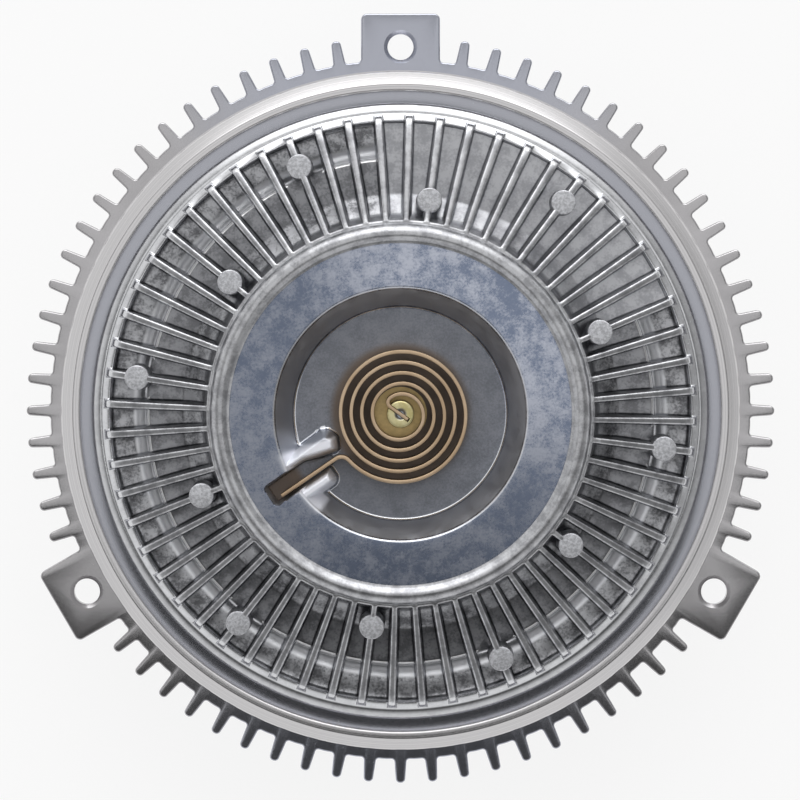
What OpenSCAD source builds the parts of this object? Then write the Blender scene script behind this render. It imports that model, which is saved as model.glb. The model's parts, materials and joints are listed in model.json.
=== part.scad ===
// Viscous fan clutch: an engine-driven hub and rotor run in a sealed finned body that carries the fan.
// The axis is Z, the front is +Z, the hub's mounting face is z = 0 and one fan lug points along +Y.
// All sizes are in millimetres and degrees.

/* [Hub] */
// diameter of the mounting flange on the hub
hub_flange_d = 58; // [50:1:64]
// thickness of the mounting flange
hub_flange_t = 7; // [5:0.5:10]
// width across the two wrench flats of the mounting flange
hub_flats_w = 52; // [46:0.5:56]
// diameter of the neck between flange and bearing
hub_neck_d = 34; // [31:0.5:36]
// length of the neck
hub_neck_len = 5.5; // [4.5:0.5:9]
// core diameter of the tapped hole in the hub
hub_thread_d = 8.5; // [6.8:0.1:10.2]
// depth of the tapped hole
hub_thread_depth = 24; // [16:0.5:30]
// diameter of the rotor seat on the hub
rotor_seat_d = 22; // [18:0.5:24]

/* [Bearing] */
// bore of the bearing
bearing_bore = 25; // [25:0.5:27]
// outer diameter of the bearing
bearing_od = 52; // [50:0.5:55]
// width of the bearing
bearing_w = 15; // [13:0.5:17]
// diameter of one ball
ball_d = 7.938; // [7:0.1:8.5]
// number of balls
ball_count = 9; // [7:1:9]
// thickness of the snap ring that holds the bearing
snap_ring_t = 1.5; // [1.2:0.1:2]

/* [Rotor] */
// diameter of the rotor
rotor_d = 147; // [143:0.5:148.5]
// thickness of the rotor web
rotor_web_t = 5; // [4:0.5:7]
// diameter of the rotor hub
rotor_hub_d = 36; // [32:0.5:40]
// height of the shear lands on rotor and cover
land_h = 5; // [3.5:0.5:6]
// width of one shear land
land_w = 1.6; // [1.2:0.1:1.8]
// number of shear lands on the rotor
land_count = 5; // [3:1:5]
// radial gap between meshing lands
land_gap = 0.6; // [0.4:0.1:0.8]
// axial running gap of the rotor
rotor_gap = 0.8; // [0.5:0.1:1.2]
// number of pressure holes in the rotor web
rotor_hole_count = 4; // [3:1:8]
// diameter of a pressure hole
rotor_hole_d = 8; // [5:0.5:10]

/* [Rear housing] */
// diameter of the working chamber
chamber_d = 150; // [149.5:0.1:152]
// thickness of the rear wall
rear_wall_t = 4.2; // [3:0.2:6]
// wall round the bearing
boss_wall = 7; // [5:0.5:9]
// lip of the boss behind the bearing
boss_lip_t = 1.5; // [1:0.1:2]
// wall in front of the bearing's snap ring
snap_wall_t = 1.2; // [0.8:0.1:2]
// diameter of the drum behind the flange
drum_d = 164; // [160:1:170]
// number of fins on the rear wall
rear_fin_count = 36; // [24:1:48]
// height of the rear fins
rear_fin_h = 9; // [5:0.5:11]
// thickness of the rear fins
rear_fin_t = 2.4; // [1.6:0.2:3.2]

/* [Toothed flange] */
// diameter over the tooth tips
tooth_tip_d = 190; // [186:0.5:194]
// diameter at the tooth roots
tooth_root_d = 177.8; // [176:0.2:180]
// number of tooth places round the flange
tooth_places = 72; // [60:12:84]
// width of a tooth at its tip
tooth_tip_w = 2.3; // [1.8:0.1:2.6]
// width of a tooth at its root
tooth_root_w = 3.1; // [2.8:0.1:3.5]
// fillet radius at the tooth root
tooth_fillet = 0.8; // [0.4:0.1:1]
// thickness of the flange
flange_t = 4.5; // [3.5:0.5:6]

/* [Fan lugs] */
// number of fan lugs
lug_count = 3; // [3:1:4]
// width of a lug
lug_w = 20; // [16:0.5:22]
// length of a lug beyond the tooth roots
lug_len = 11.7; // [10:0.1:15]
// corner radius of the lug ends
lug_corner_r = 1.5; // [0.5:0.1:3]
// distance of a fan hole from the end of its lug
fan_hole_edge = 8.4; // [7:0.1:9]
// diameter of the fan holes
fan_hole_d = 6.6; // [5:0.1:8.4]
// chamfer at the mouth of the fan holes
fan_hole_chamfer = 0.9; // [0.3:0.1:1.2]

/* [Rolled rim] */
// outer diameter of the rolled rim
rim_d = 172; // [171:0.2:174]
// wall thickness of the rolled rim
rim_wall = 2.6; // [2:0.1:3]
// inner diameter of the rolled edge over the cover
rim_lip_d = 161.2; // [160:0.2:163]
// height of the rim over the cover flange
rim_rise = 3.2; // [2:0.1:4]
// size of the bevel round the rim
rim_bevel = 3.1; // [2:0.1:3.4]
// height of the flange face under the cover seat
seat_step = 1.6; // [0.8:0.1:3]

/* [Front cover] */
// thickness of the cover's clamped edge
cover_edge_t = 4.7; // [4:0.1:6]
// outer diameter of the raised ring round the fins
ring_d = 154.6; // [154:0.1:156]
// height of the raised ring over the clamped edge
ring_rise = 3.7; // [3:0.1:5]
// inner diameter of the raised ring
ring_bore_d = 148.8; // [147:0.1:150]
// radial run of the ring's sloping inner face
ring_slope_run = 1.9; // [0.4:0.1:2.4]
// number of fins on the cover
fin_count = 60; // [48:12:60]
// angle of the first fin
fin_start = 4.3; // [0:0.1:6]
// crest width of a fin at the collar
fin_w = 1.4; // [1:0.1:2]
// draft angle on each side of a fin
fin_draft = 1.5; // [0.5:0.1:2.5]
// height of the fin crest over the clamped edge at its outer end
fin_rise = 7.1; // [5:0.1:8]
// height gained by the fin crest on its way to the collar
fin_climb = 8.6; // [7:0.1:10]
// number of round posts on the fins
post_count = 12; // [6:2:12]
// diameter of the posts
post_d = 6.2; // [5:0.1:6.6]
// distance of the inner posts from the collar
post_inner_gap = 6.1; // [5:0.1:8]
// distance of the outer posts from the raised ring's bore
post_outer_gap = 7.9; // [6:0.1:10]
// height of the posts over the fin crest
post_rise = 0.9; // [0.4:0.1:1.5]
// clear width round an outer post where the groove bends past it
post_clear = 2.6; // [1.5:0.1:2.8]
// diameter of the step between the pocket floors
step_d = 128.4; // [126:0.2:130]
// floor thickness outside the step
floor_outer_t = 4.2; // [3.6:0.1:5]
// height of the inner floor over the outer one
plateau_rise = 0.8; // [0.2:0.1:1.2]
// floor thickness in the groove at the step
groove_floor_t = 2.4; // [1.8:0.1:2.8]
// radius of the outer floor's roll down into the groove
roll_r = 6; // [4:0.1:7]
// number of neighbouring pockets without the groove
plain_pockets = 12; // [0:1:20]
// distance of the cone's foot from the collar
cone_run = 7.3; // [6:0.1:8.4]
// slope of the cone over the inner floor
cone_slope = 40; // [35:1:50]
// distance of the cone's upper edge from the collar
cone_top_gap = 2.2; // [1.6:0.1:3]

/* [Collar] */
// wall of the collar round the cap
collar_wall = 3.2; // [2.6:0.1:3.6]
// reach of the lip rolled over the cap
collar_lip_reach = 1.8; // [1:0.1:2.4]
// height of the rolled lip over the cap
collar_lip_rise = 1.2; // [0.8:0.1:2]
// height of the cap seat over the crest of the fins
cap_seat_rise = 1; // [0.4:0.1:2]
// width of the seat under the cap
cap_seat_w = 3.8; // [3.2:0.1:4.2]
// width of the land that takes the separator screws
screw_land_w = 5.5; // [5:0.1:6]

/* [Reservoir cap] */
// sheet thickness of the cap
cap_t = 1.2; // [0.8:0.1:1.5]
// diameter of the dish at its mouth
dish_mouth_d = 63; // [60:0.5:66]
// diameter of the dish floor
dish_floor_d = 53; // [50:0.5:55]
// depth of the dish
dish_depth = 9; // [8:0.1:10]
// direction of the spring slot
slot_angle = 214.5; // [205:0.5:225]
// width of the spring slot
slot_w = 4.9; // [4.4:0.1:5.4]
// distance of the slot's closed end from the reservoir wall
slot_end_gap = 2.5; // [2.2:0.1:4]
// sideways offset of the slot
slot_offset = -1.4; // [-1.8:0.1:-1]
// width of the horn above the slot
horn_w = 3; // [2:0.1:3.6]
// width of the horn below the slot
horn_low_w = 4.2; // [2.6:0.1:4.6]

/* [Separator and valve] */
// diameter of the separator plate
separator_d = 92; // [90:0.5:94]
// thickness of the separator plate
separator_t = 1.2; // [0.8:0.1:1.6]
// depth of the recess that takes the separator plate
separator_recess = 1.2; // [1:0.1:1.4]
// diameter of the oil port
port_d = 6; // [4:0.5:8]
// distance of the oil port from the axis
port_r = 27; // [24:0.5:30]
// diameter of the separator screw shanks
screw_d = 2.5; // [2:0.1:3]
// number of separator screws
screw_count = 3; // [3:1:6]
// diameter of the spindle in its bush
spindle_d = 6; // [5:0.1:6.4]
// diameter of the spindle head
spindle_head_d = 6.8; // [6.6:0.1:7.2]
// thickness of the valve lever
lever_t = 0.8; // [0.6:0.1:1.2]
// width of the valve lever
lever_w = 7; // [5:0.5:9]
// gap between valve lever and separator plate
lever_gap = 0.35; // [0.2:0.05:0.5]
// wall of the bush
bush_wall = 2.4; // [1.6:0.1:3]

/* [Bimetal coil] */
// thickness of the strip
strip_t = 0.9; // [0.6:0.05:1]
// width of the strip along the axis
strip_w = 6.6; // [5:0.1:7]
// gap between the spindle head and the first turn
coil_in_gap = 0.94; // [0.6:0.02:1.4]
// radius of the spiral where the leg leaves it
coil_out_r = 17.2; // [16.6:0.1:17.6]
// turns of the spiral
coil_turns = 4.72; // [4.6:0.01:4.8]
// length of the outer leg
leg_len = 16.2; // [12:0.1:17]
// gap between the spindle head and the dish floor
coil_gap = 0.8; // [0.6:0.1:1.2]

/* [Fits] */
// clearance of pieces that are pressed or laid together
fit = 0.02; // [0.01:0.01:0.05]
// radial clearance of the spindle in its bush
spindle_clear = 0.03; // [0.02:0.01:0.08]
// clearance of moving pieces from fixed ones
run_clear = 0.5; // [0.35:0.05:0.7]
// thickness of the seal rings
seal_t = 1.4; // [1:0.1:1.6]

/* [Hidden] */
$fn = 96;

// levels along the axis, from the mounting face to the front
z_bearing = hub_flange_t + hub_neck_len;
z_bearing_top = z_bearing + bearing_w;
z_balls = z_bearing + bearing_w / 2;
z_boss = z_bearing - boss_lip_t;
z_chamber = z_bearing_top + snap_ring_t + snap_wall_t;
z_rotor = z_chamber + rotor_gap;
z_rotor_top = z_rotor + rotor_web_t;
z_roof = z_rotor_top + land_h + rotor_gap;
z_flange = z_roof - seat_step;
z_edge = z_roof + cover_edge_t;
z_rim = z_edge + rim_rise;
z_ring = z_edge + ring_rise;
z_floor_outer = z_roof + floor_outer_t;
z_floor_inner = z_floor_outer + plateau_rise;
z_groove = z_roof + groove_floor_t;
z_cone = z_floor_inner + (cone_run - cone_top_gap) * tan(cone_slope);
z_crest_outer = z_edge + fin_rise;
z_crest_inner = z_crest_outer + fin_climb;
z_cap_seat = z_crest_inner + cap_seat_rise;
z_cap = z_cap_seat + cap_t;
z_lip = z_cap + collar_lip_rise;
z_dish = z_cap - dish_depth;
z_separator = z_roof + separator_recess;
z_reservoir = z_separator + separator_t;
z_lever = z_reservoir + lever_gap;
z_coil = z_dish + coil_gap;

// radii that several pieces share
pitch_r = (bearing_bore + bearing_od) / 4;
inner_race_r = pitch_r - 0.28 * ball_d;
outer_race_r = pitch_r + 0.28 * ball_d;
race_groove_r = ball_d / 2 + 0.08;
shield_step = 0.9;
shield_in = 0.5;
shield_t = 0.7;
chamber_r = chamber_d / 2;
boss_r = bearing_od / 2 + boss_wall;
rim_r = rim_d / 2;
cover_r = rim_r - rim_wall;
lip_r = rim_lip_d / 2;
ring_r = ring_d / 2;
ring_bore_r = ring_bore_d / 2;
step_r = step_d / 2;
reservoir_r = separator_d / 2 - screw_land_w;
cap_r = reservoir_r + cap_seat_w;
collar_r = cap_r + collar_wall;
cone_r = collar_r + cone_run;
slot_end_r = reservoir_r - slot_end_gap;
rotor_r = rotor_d / 2;
land_pitch = 2 * (land_w + land_gap);
bush_r = spindle_d / 2 + bush_wall;
seat_seal_r = (chamber_r + cover_r) / 2;
seat_seal_half = 1.2;
cap_seal_r = (reservoir_r + cap_r) / 2;
cap_seal_half = 1;
screw_r = (reservoir_r + separator_d / 2) / 2;
screw_start = 30;
screw_head_t = 0.9;
screw_len = 6;

// points on an arc about c, from angle a0 to a1 in n steps
function arc(c, r, a0, a1, n) =
  [for (i = [0 : n]) c + r * [cos(a0 + (a1 - a0) * i / n), sin(a0 + (a1 - a0) * i / n)]];

// points p turned by angle a about the axis
function turned(p, a) = [for (q = p) [q[0] * cos(a) - q[1] * sin(a), q[0] * sin(a) + q[1] * cos(a)]];

// all lists in one
function joined(lists) = [for (l = lists) for (q = l) q];

// a plain ring between two radii and two levels
module ring(r_out, r_in, z0, z1) {
  rotate_extrude() translate([r_in, z0]) square([r_out - r_in, z1 - z0]);
}

// steel hub: mounting flange, neck, bearing seat and rotor seat, with a tapped hole from the rear
z_hub_top = z_rotor_top + 2;
retainer_w = 1.4;
retainer_depth = 1;
z_retainer_top = z_hub_top + retainer_w;
z_seat_end = z_retainer_top + 1.2;
hub_chamfer = 0.8;
seat_chamfer = 0.6;
module input_hub() {
  color("silver") difference() {
    rotate_extrude() polygon([[0, 0], [hub_flange_d / 2 - hub_chamfer, 0], [hub_flange_d / 2, hub_chamfer],
      [hub_flange_d / 2, hub_flange_t - hub_chamfer], [hub_flange_d / 2 - hub_chamfer, hub_flange_t],
      [hub_neck_d / 2, hub_flange_t], [hub_neck_d / 2, z_bearing], [bearing_bore / 2 - fit, z_bearing],
      [bearing_bore / 2 - fit, z_bearing_top], [rotor_seat_d / 2 - fit, z_bearing_top],
      [rotor_seat_d / 2 - fit, z_hub_top], [rotor_seat_d / 2 - retainer_depth, z_hub_top],
      [rotor_seat_d / 2 - retainer_depth, z_retainer_top], [rotor_seat_d / 2 - fit, z_retainer_top],
      [rotor_seat_d / 2 - fit, z_seat_end - seat_chamfer], [rotor_seat_d / 2 - seat_chamfer, z_seat_end],
      [0, z_seat_end]]);
    translate([0, 0, -1]) cylinder(d = hub_thread_d, h = hub_thread_depth + 1);
    for (a = [0, 180]) rotate(a)
      translate([hub_flats_w / 2, -hub_flange_d, -1])
        cube([hub_flange_d, 2 * hub_flange_d, hub_flange_t + 1]);
  }
}

// aluminium drive disc with concentric shear lands on its front face
module rotor() {
  color("gainsboro") difference() {
    union() {
      rotate_extrude() polygon([[rotor_seat_d / 2, z_bearing_top], [inner_race_r - 0.6, z_bearing_top],
        [inner_race_r - 0.6, z_rotor], [rotor_r, z_rotor], [rotor_r, z_rotor_top],
        [rotor_hub_d / 2, z_rotor_top], [rotor_hub_d / 2 - 1, z_hub_top], [rotor_seat_d / 2, z_hub_top]]);
      for (i = [0 : land_count - 1])
        ring(rotor_r - i * land_pitch, rotor_r - i * land_pitch - land_w,
          z_rotor_top - 0.5, z_rotor_top + land_h);
    }
    for (i = [0 : rotor_hole_count - 1])
      rotate(i * 360 / rotor_hole_count) translate([rotor_r / 2, 0, z_rotor - 1])
        cylinder(d = rotor_hole_d, h = rotor_web_t + 2);
  }
}

// snap ring in the groove in front of the rotor
retainer_reach = 2.2;
retainer_split = 4;
module rotor_retaining_ring() {
  color("dimgray") difference() {
    ring(rotor_seat_d / 2 + retainer_reach, rotor_seat_d / 2 - retainer_depth + fit,
      z_hub_top + fit, z_retainer_top - fit);
    translate([0, -retainer_split / 2, z_hub_top - 1]) cube([rotor_seat_d, retainer_split, retainer_w + 2]);
  }
}

// inner ring of the ball bearing
module bearing_inner_ring() {
  color("silver") rotate_extrude() difference() {
    translate([bearing_bore / 2, z_bearing]) square([inner_race_r - bearing_bore / 2, bearing_w]);
    translate([pitch_r, z_balls]) circle(r = race_groove_r);
  }
}

// outer ring of the ball bearing, stepped for the shields
module bearing_outer_ring() {
  color("silver") rotate_extrude() difference() {
    translate([outer_race_r, z_bearing]) square([bearing_od / 2 - outer_race_r, bearing_w]);
    translate([pitch_r, z_balls]) circle(r = race_groove_r);
    translate([outer_race_r - 1, z_bearing - 1]) square([1 + shield_step, 1 + shield_in + shield_t]);
    translate([outer_race_r - 1, z_bearing_top - shield_in - shield_t])
      square([1 + shield_step, 1 + shield_in + shield_t]);
  }
}

// balls of the bearing
module bearing_balls() {
  color("white") for (i = [0 : ball_count - 1])
    rotate(i * 360 / ball_count) translate([pitch_r, 0, z_balls]) sphere(d = ball_d);
}

// cage that spaces the balls
cage_h = ball_d + 2;
module bearing_cage() {
  color("peru") difference() {
    ring(pitch_r + 1.1, pitch_r - 1.1, z_balls - cage_h / 2, z_balls + cage_h / 2);
    for (i = [0 : ball_count - 1])
      rotate(i * 360 / ball_count) translate([pitch_r, 0, z_balls]) sphere(d = ball_d + 0.3);
  }
}

// sheet shields of the bearing
module bearing_rear_shield() {
  color("gray")
    ring(outer_race_r + shield_step - fit, inner_race_r + 0.35,
      z_bearing + shield_in, z_bearing + shield_in + shield_t);
}
module bearing_front_shield() {
  color("gray")
    ring(outer_race_r + shield_step - fit, inner_race_r + 0.35,
      z_bearing_top - shield_in - shield_t, z_bearing_top - shield_in);
}

// snap ring that holds the bearing in the rear housing
module bearing_snap_ring() {
  color("dimgray") difference() {
    ring(bearing_od / 2 + 1.4, bearing_od / 2 - 2.6, z_bearing_top + fit, z_bearing_top + snap_ring_t - fit);
    translate([bearing_od / 2 - 5, -4, z_bearing_top - 1]) cube([10, 8, snap_ring_t + 2]);
  }
}

// outline of one tooth, its middle on the X axis
tooth_root_r = tooth_root_d / 2;
tooth_tip_r = tooth_tip_d / 2;
lug_end_r = tooth_root_r + lug_len;
fan_pcd = 2 * (lug_end_r - fan_hole_edge);
function tooth_points() =
  let (f = tooth_fillet, h = tooth_root_w / 2, t = tooth_tip_w / 2)
  concat(arc([tooth_root_r + f, -h - f], f, 180, 90, 3), arc([tooth_tip_r - t, 0], t, -86, 86, 6),
    arc([tooth_root_r + f, h + f], f, 270, 180, 3));

// outline of one lug, its middle on the X axis
function lug_points() =
  let (h = lug_w / 2, f = 1.6, c = lug_corner_r, x0 = sqrt(pow(tooth_root_r, 2) - pow(h + f, 2)))
  concat(arc([x0 + f, -h - f], f, 180, 90, 4), arc([lug_end_r - c, -h + c], c, -90, 0, 4),
    arc([lug_end_r - c, h - c], c, 0, 90, 4), arc([x0 + f, h + f], f, 270, 180, 4));

// outline of the flange: a lug takes the room of three tooth places
places_per_lug = tooth_places / lug_count;
lug_start = 90;
function flange_points() = joined([for (k = [0 : tooth_places - 1])
  let (m = k % places_per_lug, a = lug_start + k * 360 / tooth_places)
  m == 0 ? turned(lug_points(), a) : (m == 1 || m == places_per_lug - 1) ? [] : turned(tooth_points(), a)]);

// cast body: bearing boss, rear wall with fins, chamber wall, toothed flange with lugs, rolled rim
z_wall = z_chamber - rear_wall_t;
z_flange_rear = z_flange - flange_t;
module rear_housing() {
  drum_r = drum_d / 2;
  rim_draft = 0.35;
  lip_round = 0.7;
  color("lightgray") difference() {
    union() {
      rotate_extrude() polygon(concat([[hub_neck_d / 2 + run_clear, z_boss], [boss_r - 1, z_boss],
        [boss_r, z_boss + 1], [boss_r + 1, z_wall], [drum_r - 3, z_wall], [drum_r, z_wall + 3],
        [drum_r, z_flange_rear + 1], [rim_r - 0.5, z_flange_rear + 1], [rim_r - 0.5, z_flange]],
        [[rim_r, z_flange], [rim_r - rim_draft, z_rim - rim_bevel], [rim_r - rim_draft - rim_bevel, z_rim]],
        arc([lip_r + lip_round, z_rim - lip_round], lip_round, 90, 165, 4),
        [[lip_r, z_edge + 0.4], [lip_r + 0.3, z_edge], [cover_r, z_edge], [cover_r, z_roof],
        [chamber_r, z_roof], [chamber_r, z_chamber], [bearing_od / 2 + fit, z_chamber],
        [bearing_od / 2 + fit, z_bearing], [hub_neck_d / 2 + run_clear, z_bearing]]));
      translate([0, 0, z_flange_rear]) linear_extrude(flange_t) difference() {
        polygon(flange_points());
        circle(r = chamber_r + 3);
      }
      for (i = [0 : rear_fin_count - 1])
        rotate(i * 360 / rear_fin_count) translate([0, rear_fin_t / 2, 0]) rotate([90, 0, 0])
          linear_extrude(rear_fin_t) polygon([[boss_r - 2, z_wall + 0.6], [boss_r - 2, z_wall - rear_fin_h],
            [boss_r + 8, z_wall - rear_fin_h], [drum_r - 5, z_wall - rear_fin_h * 0.45],
            [drum_r - 3.4, z_wall + 0.6]]);
    }
    ring(bearing_od / 2 + 1.5, bearing_od / 2 - 2, z_bearing_top, z_bearing_top + snap_ring_t);
    ring(seat_seal_r + seat_seal_half, seat_seal_r - seat_seal_half, z_roof - seal_t, z_roof + 0.5);
    for (i = [0 : lug_count - 1]) rotate(lug_start + i * 360 / lug_count) {
      translate([fan_pcd / 2, 0, z_flange_rear - 1]) cylinder(d = fan_hole_d, h = flange_t + 2);
      translate([fan_pcd / 2, 0, z_flange - fan_hole_chamfer])
        cylinder(d1 = fan_hole_d, d2 = fan_hole_d + 4 * fan_hole_chamfer, h = 2 * fan_hole_chamfer);
    }
  }
}

// square seal ring between rear housing and cover
module cover_seal_ring() {
  color("black") ring(seat_seal_r + seat_seal_half - fit, seat_seal_r - seat_seal_half + fit,
    z_roof - seal_t + fit, z_roof - fit);
}

// side view of a fin and crest level at radius r
crest_in_r = collar_r + 0.5;
crest_out_r = ring_bore_r - 2;
function crest_z(r) = z_crest_inner - fin_climb * (r - crest_in_r) / (crest_out_r - crest_in_r);
module fin_blank() {
  w = fin_w / 2;
  z_root = z_roof + 1.4;
  end_round = 3.5;
  r_in = crest_in_r - 1.4;
  r_out = ring_r - 1.4;
  base = w + (z_crest_inner - z_roof) * tan(fin_draft);
  tip = w - (z_cap_seat - z_crest_inner) * tan(fin_draft);
  intersection() {
    translate([0, 10, 0]) rotate([90, 0, 0]) linear_extrude(20)
      polygon(concat([[r_in, z_reservoir + 1], [cone_r, z_root], [r_out, z_root], [r_out, z_ring - 0.3]],
        arc([crest_out_r - 1, crest_z(crest_out_r - 1) - end_round], end_round, 8, 70, 5),
        [[r_in, crest_z(r_in)]]));
    rotate([90, 0, 90]) translate([0, 0, crest_in_r - 4]) linear_extrude(ring_r)
      polygon([[-base, z_roof], [base, z_roof], [tip, z_cap_seat], [-tip, z_cap_seat]]);
  }
}

// pocket floor that runs level to the raised ring, between two fins that bound the groove
first_post = 3;
module plain_floor() {
  ends = [for (i = [0, plain_pockets]) fin_start + (first_post + i) * 360 / fin_count];
  if (plain_pockets > 0) intersection() {
    ring(ring_bore_r, step_r - 1, z_roof + 1, z_floor_inner);
    linear_extrude(z_ring) polygon(concat([[0, 0]], arc([0, 0], 2 * ring_r, ends[0], ends[1], 6)));
  }
}

// turn and radius of a post: near the collar and near the ring by turns
function post_fin(i) = first_post + i * fin_count / post_count;
function post_r(i) = i % 2 == 0 ? collar_r + post_inner_gap : ring_bore_r - post_outer_gap;

// room in the inner floor where the groove bends round the outer posts
module post_rooms() {
  intersection() {
    ring(step_r, cone_r, z_groove + 0.2, z_crest_inner);
    for (i = [1 : 2 : post_count - 1]) if (post_fin(i) > first_post + plain_pockets)
      rotate(fin_start + post_fin(i) * 360 / fin_count) translate([post_r(i), 0, z_roof])
        cylinder(d = post_d + 2 * post_clear, h = z_ring - z_roof);
  }
}

// finned cover: clamped edge, raised ring, fins with round posts, collar with the lip over the cap
module front_cover() {
  lip_in = cap_r - collar_lip_reach;
  lip_round = 1.6;
  groove_r = step_r + 0.3;
  roll_turn = acos(1 - (z_floor_outer - z_groove) / roll_r);
  section = concat([[separator_d / 2 + 0.1, z_roof], [cover_r - fit, z_roof],
    [cover_r - fit, z_edge], [ring_r, z_edge]], arc([ring_r - 1.6, z_ring - 1], 1, 20, 90, 3),
    arc([ring_bore_r + 0.9, z_ring - 0.7], 0.7, 90, 165, 3), [[ring_bore_r - ring_slope_run, z_floor_outer]],
    arc([groove_r + roll_r * sin(roll_turn), z_floor_outer - roll_r], roll_r, 90, 90 + roll_turn, 5),
    [[step_r, z_groove], [step_r - 0.4, z_floor_inner],
    [cone_r, z_floor_inner], [collar_r + cone_top_gap, z_cone], [collar_r + 0.7, z_crest_inner],
    [collar_r, z_crest_inner], [collar_r, z_lip - lip_round]],
    arc([collar_r - lip_round, z_lip - lip_round], lip_round, 20, 90, 4),
    [[lip_in + lip_round, z_lip], [lip_in, z_cap + 0.4], [lip_in + 0.2, z_cap], [cap_r + fit, z_cap],
    [cap_r + fit, z_cap_seat], [reservoir_r, z_cap_seat], [reservoir_r, z_reservoir],
    [separator_d / 2 + 0.1, z_reservoir]]);
  color("whitesmoke") difference() {
    union() {
      difference() {
        rotate_extrude() polygon(section);
        post_rooms();
      }
      for (i = [0 : land_count - 2])
        ring(rotor_r - i * land_pitch - land_w - land_gap, rotor_r - i * land_pitch - 2 * land_w - land_gap,
          z_rotor_top + rotor_gap, z_roof + 0.5);
      plain_floor();
      for (i = [0 : fin_count - 1]) rotate(fin_start + i * 360 / fin_count) fin_blank();
      for (i = [0 : post_count - 1])
        rotate(fin_start + post_fin(i) * 360 / fin_count) translate([post_r(i), 0, z_roof + 1])
          cylinder(d = post_d, h = crest_z(post_r(i)) + post_rise - z_roof - 1);
    }
    ring(cap_seal_r + cap_seal_half, cap_seal_r - cap_seal_half, z_cap_seat - seal_t, z_cap_seat + 0.3);
    for (i = [0 : screw_count - 1]) rotate(screw_start + i * 360 / screw_count)
      translate([screw_r, 0, z_reservoir - 1]) cylinder(d = screw_d + 2 * fit, h = screw_len + 1);
  }
}

// two dams behind the rim of the rotor that pump the fluid back
wiper_t = chamber_r - rotor_r - run_clear;
wiper_w = 8;
wiper_angles = [40, 220];
module pump_wipers() {
  color("tan") for (a = wiper_angles) rotate(a) intersection() {
    ring(chamber_r - 0.05, chamber_r - wiper_t, z_rotor_top - 1, z_roof - fit);
    translate([0, -wiper_w / 2, 0]) cube([chamber_d, wiper_w, z_edge]);
  }
}

// separator plate between working chamber and reservoir, with the oil port
module separator_plate() {
  color("lightsteelblue") difference() {
    translate([0, 0, z_separator]) cylinder(d = separator_d, h = separator_t - fit);
    translate([port_r, 0, z_separator - 1]) cylinder(d = port_d, h = separator_t + 2);
    for (i = [0 : screw_count - 1]) rotate(screw_start + i * 360 / screw_count)
      translate([screw_r, 0, z_separator - 1]) cylinder(d = screw_d + 2 * fit, h = separator_t + 2);
  }
}

// screws that hold the separator plate
module separator_screws() {
  color("silver") for (i = [0 : screw_count - 1]) rotate(screw_start + i * 360 / screw_count)
    translate([screw_r, 0, 0]) {
      translate([0, 0, z_separator - screw_head_t]) cylinder(d = screw_d + 2, h = screw_head_t - fit);
      translate([0, 0, z_separator - 0.5]) cylinder(d = screw_d, h = separator_t + screw_len);
    }
}

// outline of the slot, of the pressed pocket round it and of the horns, along the slot's own X axis
module along_slot() {
  rotate(slot_angle) translate([0, slot_offset, 0]) children();
}

// pressed sheet cap: flat rim, dish for the coil, radial slot between two horns
module reservoir_cap() {
  mouth_r = dish_mouth_d / 2;
  floor_r = dish_floor_d / 2;
  s = slot_w / 2;
  slot_round = 0.6;
  horn_x = coil_out_r + bend_r;
  back_x = mouth_r + 1.5;
  low_x = floor_r - 4.1;
  low_round = 1.4;
  color("lightsteelblue") difference() {
    union() {
      rotate_extrude() polygon(concat([[bush_r + fit, z_dish - cap_t], [floor_r - 0.4, z_dish - cap_t],
        [mouth_r - 0.4, z_cap_seat], [cap_r, z_cap_seat], [cap_r, z_cap]],
        arc([mouth_r + 0.9, z_cap - 1.2], 1.2, 90, 150, 3),
        arc([floor_r - 0.9, z_dish + 1.2], 1.2, -30, -90, 3),
        [[bush_r + fit, z_dish]]));
      along_slot() translate([0, 0, z_dish - cap_t]) linear_extrude(dish_depth + cap_t)
        polygon(concat([[floor_r - 1, -s - 1]],
          arc([slot_end_r - slot_round, -s + slot_round], slot_round + 1, -90, 0, 4),
          arc([slot_end_r - slot_round, s - slot_round], slot_round + 1, 0, 90, 4), [[floor_r - 1, s + 1]]));
      along_slot() translate([0, 0, z_dish - 0.3]) linear_extrude(dish_depth - 0.5)
        polygon(concat([[horn_x - 0.2, -0.2], [floor_r, -s - 0.2], [back_x, -s - 0.2], [back_x, -s - 1]],
          arc([horn_x, -s - 0.4], horn_w, -100, -180, 4)));
      along_slot() translate([0, 0, z_dish - 0.3]) linear_extrude(dish_depth - 0.5)
        polygon(concat([[low_x, s + 0.1], [back_x, s + 0.1], [back_x, s + horn_low_w]],
          arc([low_x + low_round, s + horn_low_w - low_round], low_round, 90, 180, 4)));
    }
    along_slot() translate([0, 0, z_dish]) linear_extrude(dish_depth + 1)
      polygon(concat([[floor_r, -s]], arc([slot_end_r - slot_round, -s + slot_round], slot_round, -90, 0, 3),
        arc([slot_end_r - slot_round, s - slot_round], slot_round, 0, 90, 3),
        [[low_x - 0.4, s], [low_x - 0.4, 0.5], [floor_r - 0.5, -0.5]]));
  }
}

// seal ring under the cap
module cap_seal_ring() {
  color("black") ring(cap_seal_r + cap_seal_half - fit, cap_seal_r - cap_seal_half + fit,
    z_cap_seat - seal_t + fit, z_cap_seat - fit);
}

// flanged bush of the spindle, pressed into the dish floor
z_bush = z_dish - cap_t - 3;
module valve_bush() {
  color("khaki") rotate_extrude() polygon([[spindle_d / 2 + spindle_clear, z_bush], [bush_r, z_bush],
    [bush_r, z_dish + fit], [bush_r + 1.2, z_dish + fit], [bush_r + 1.2, z_dish + 0.5],
    [spindle_d / 2 + spindle_clear, z_dish + 0.5]]);
}

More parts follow.
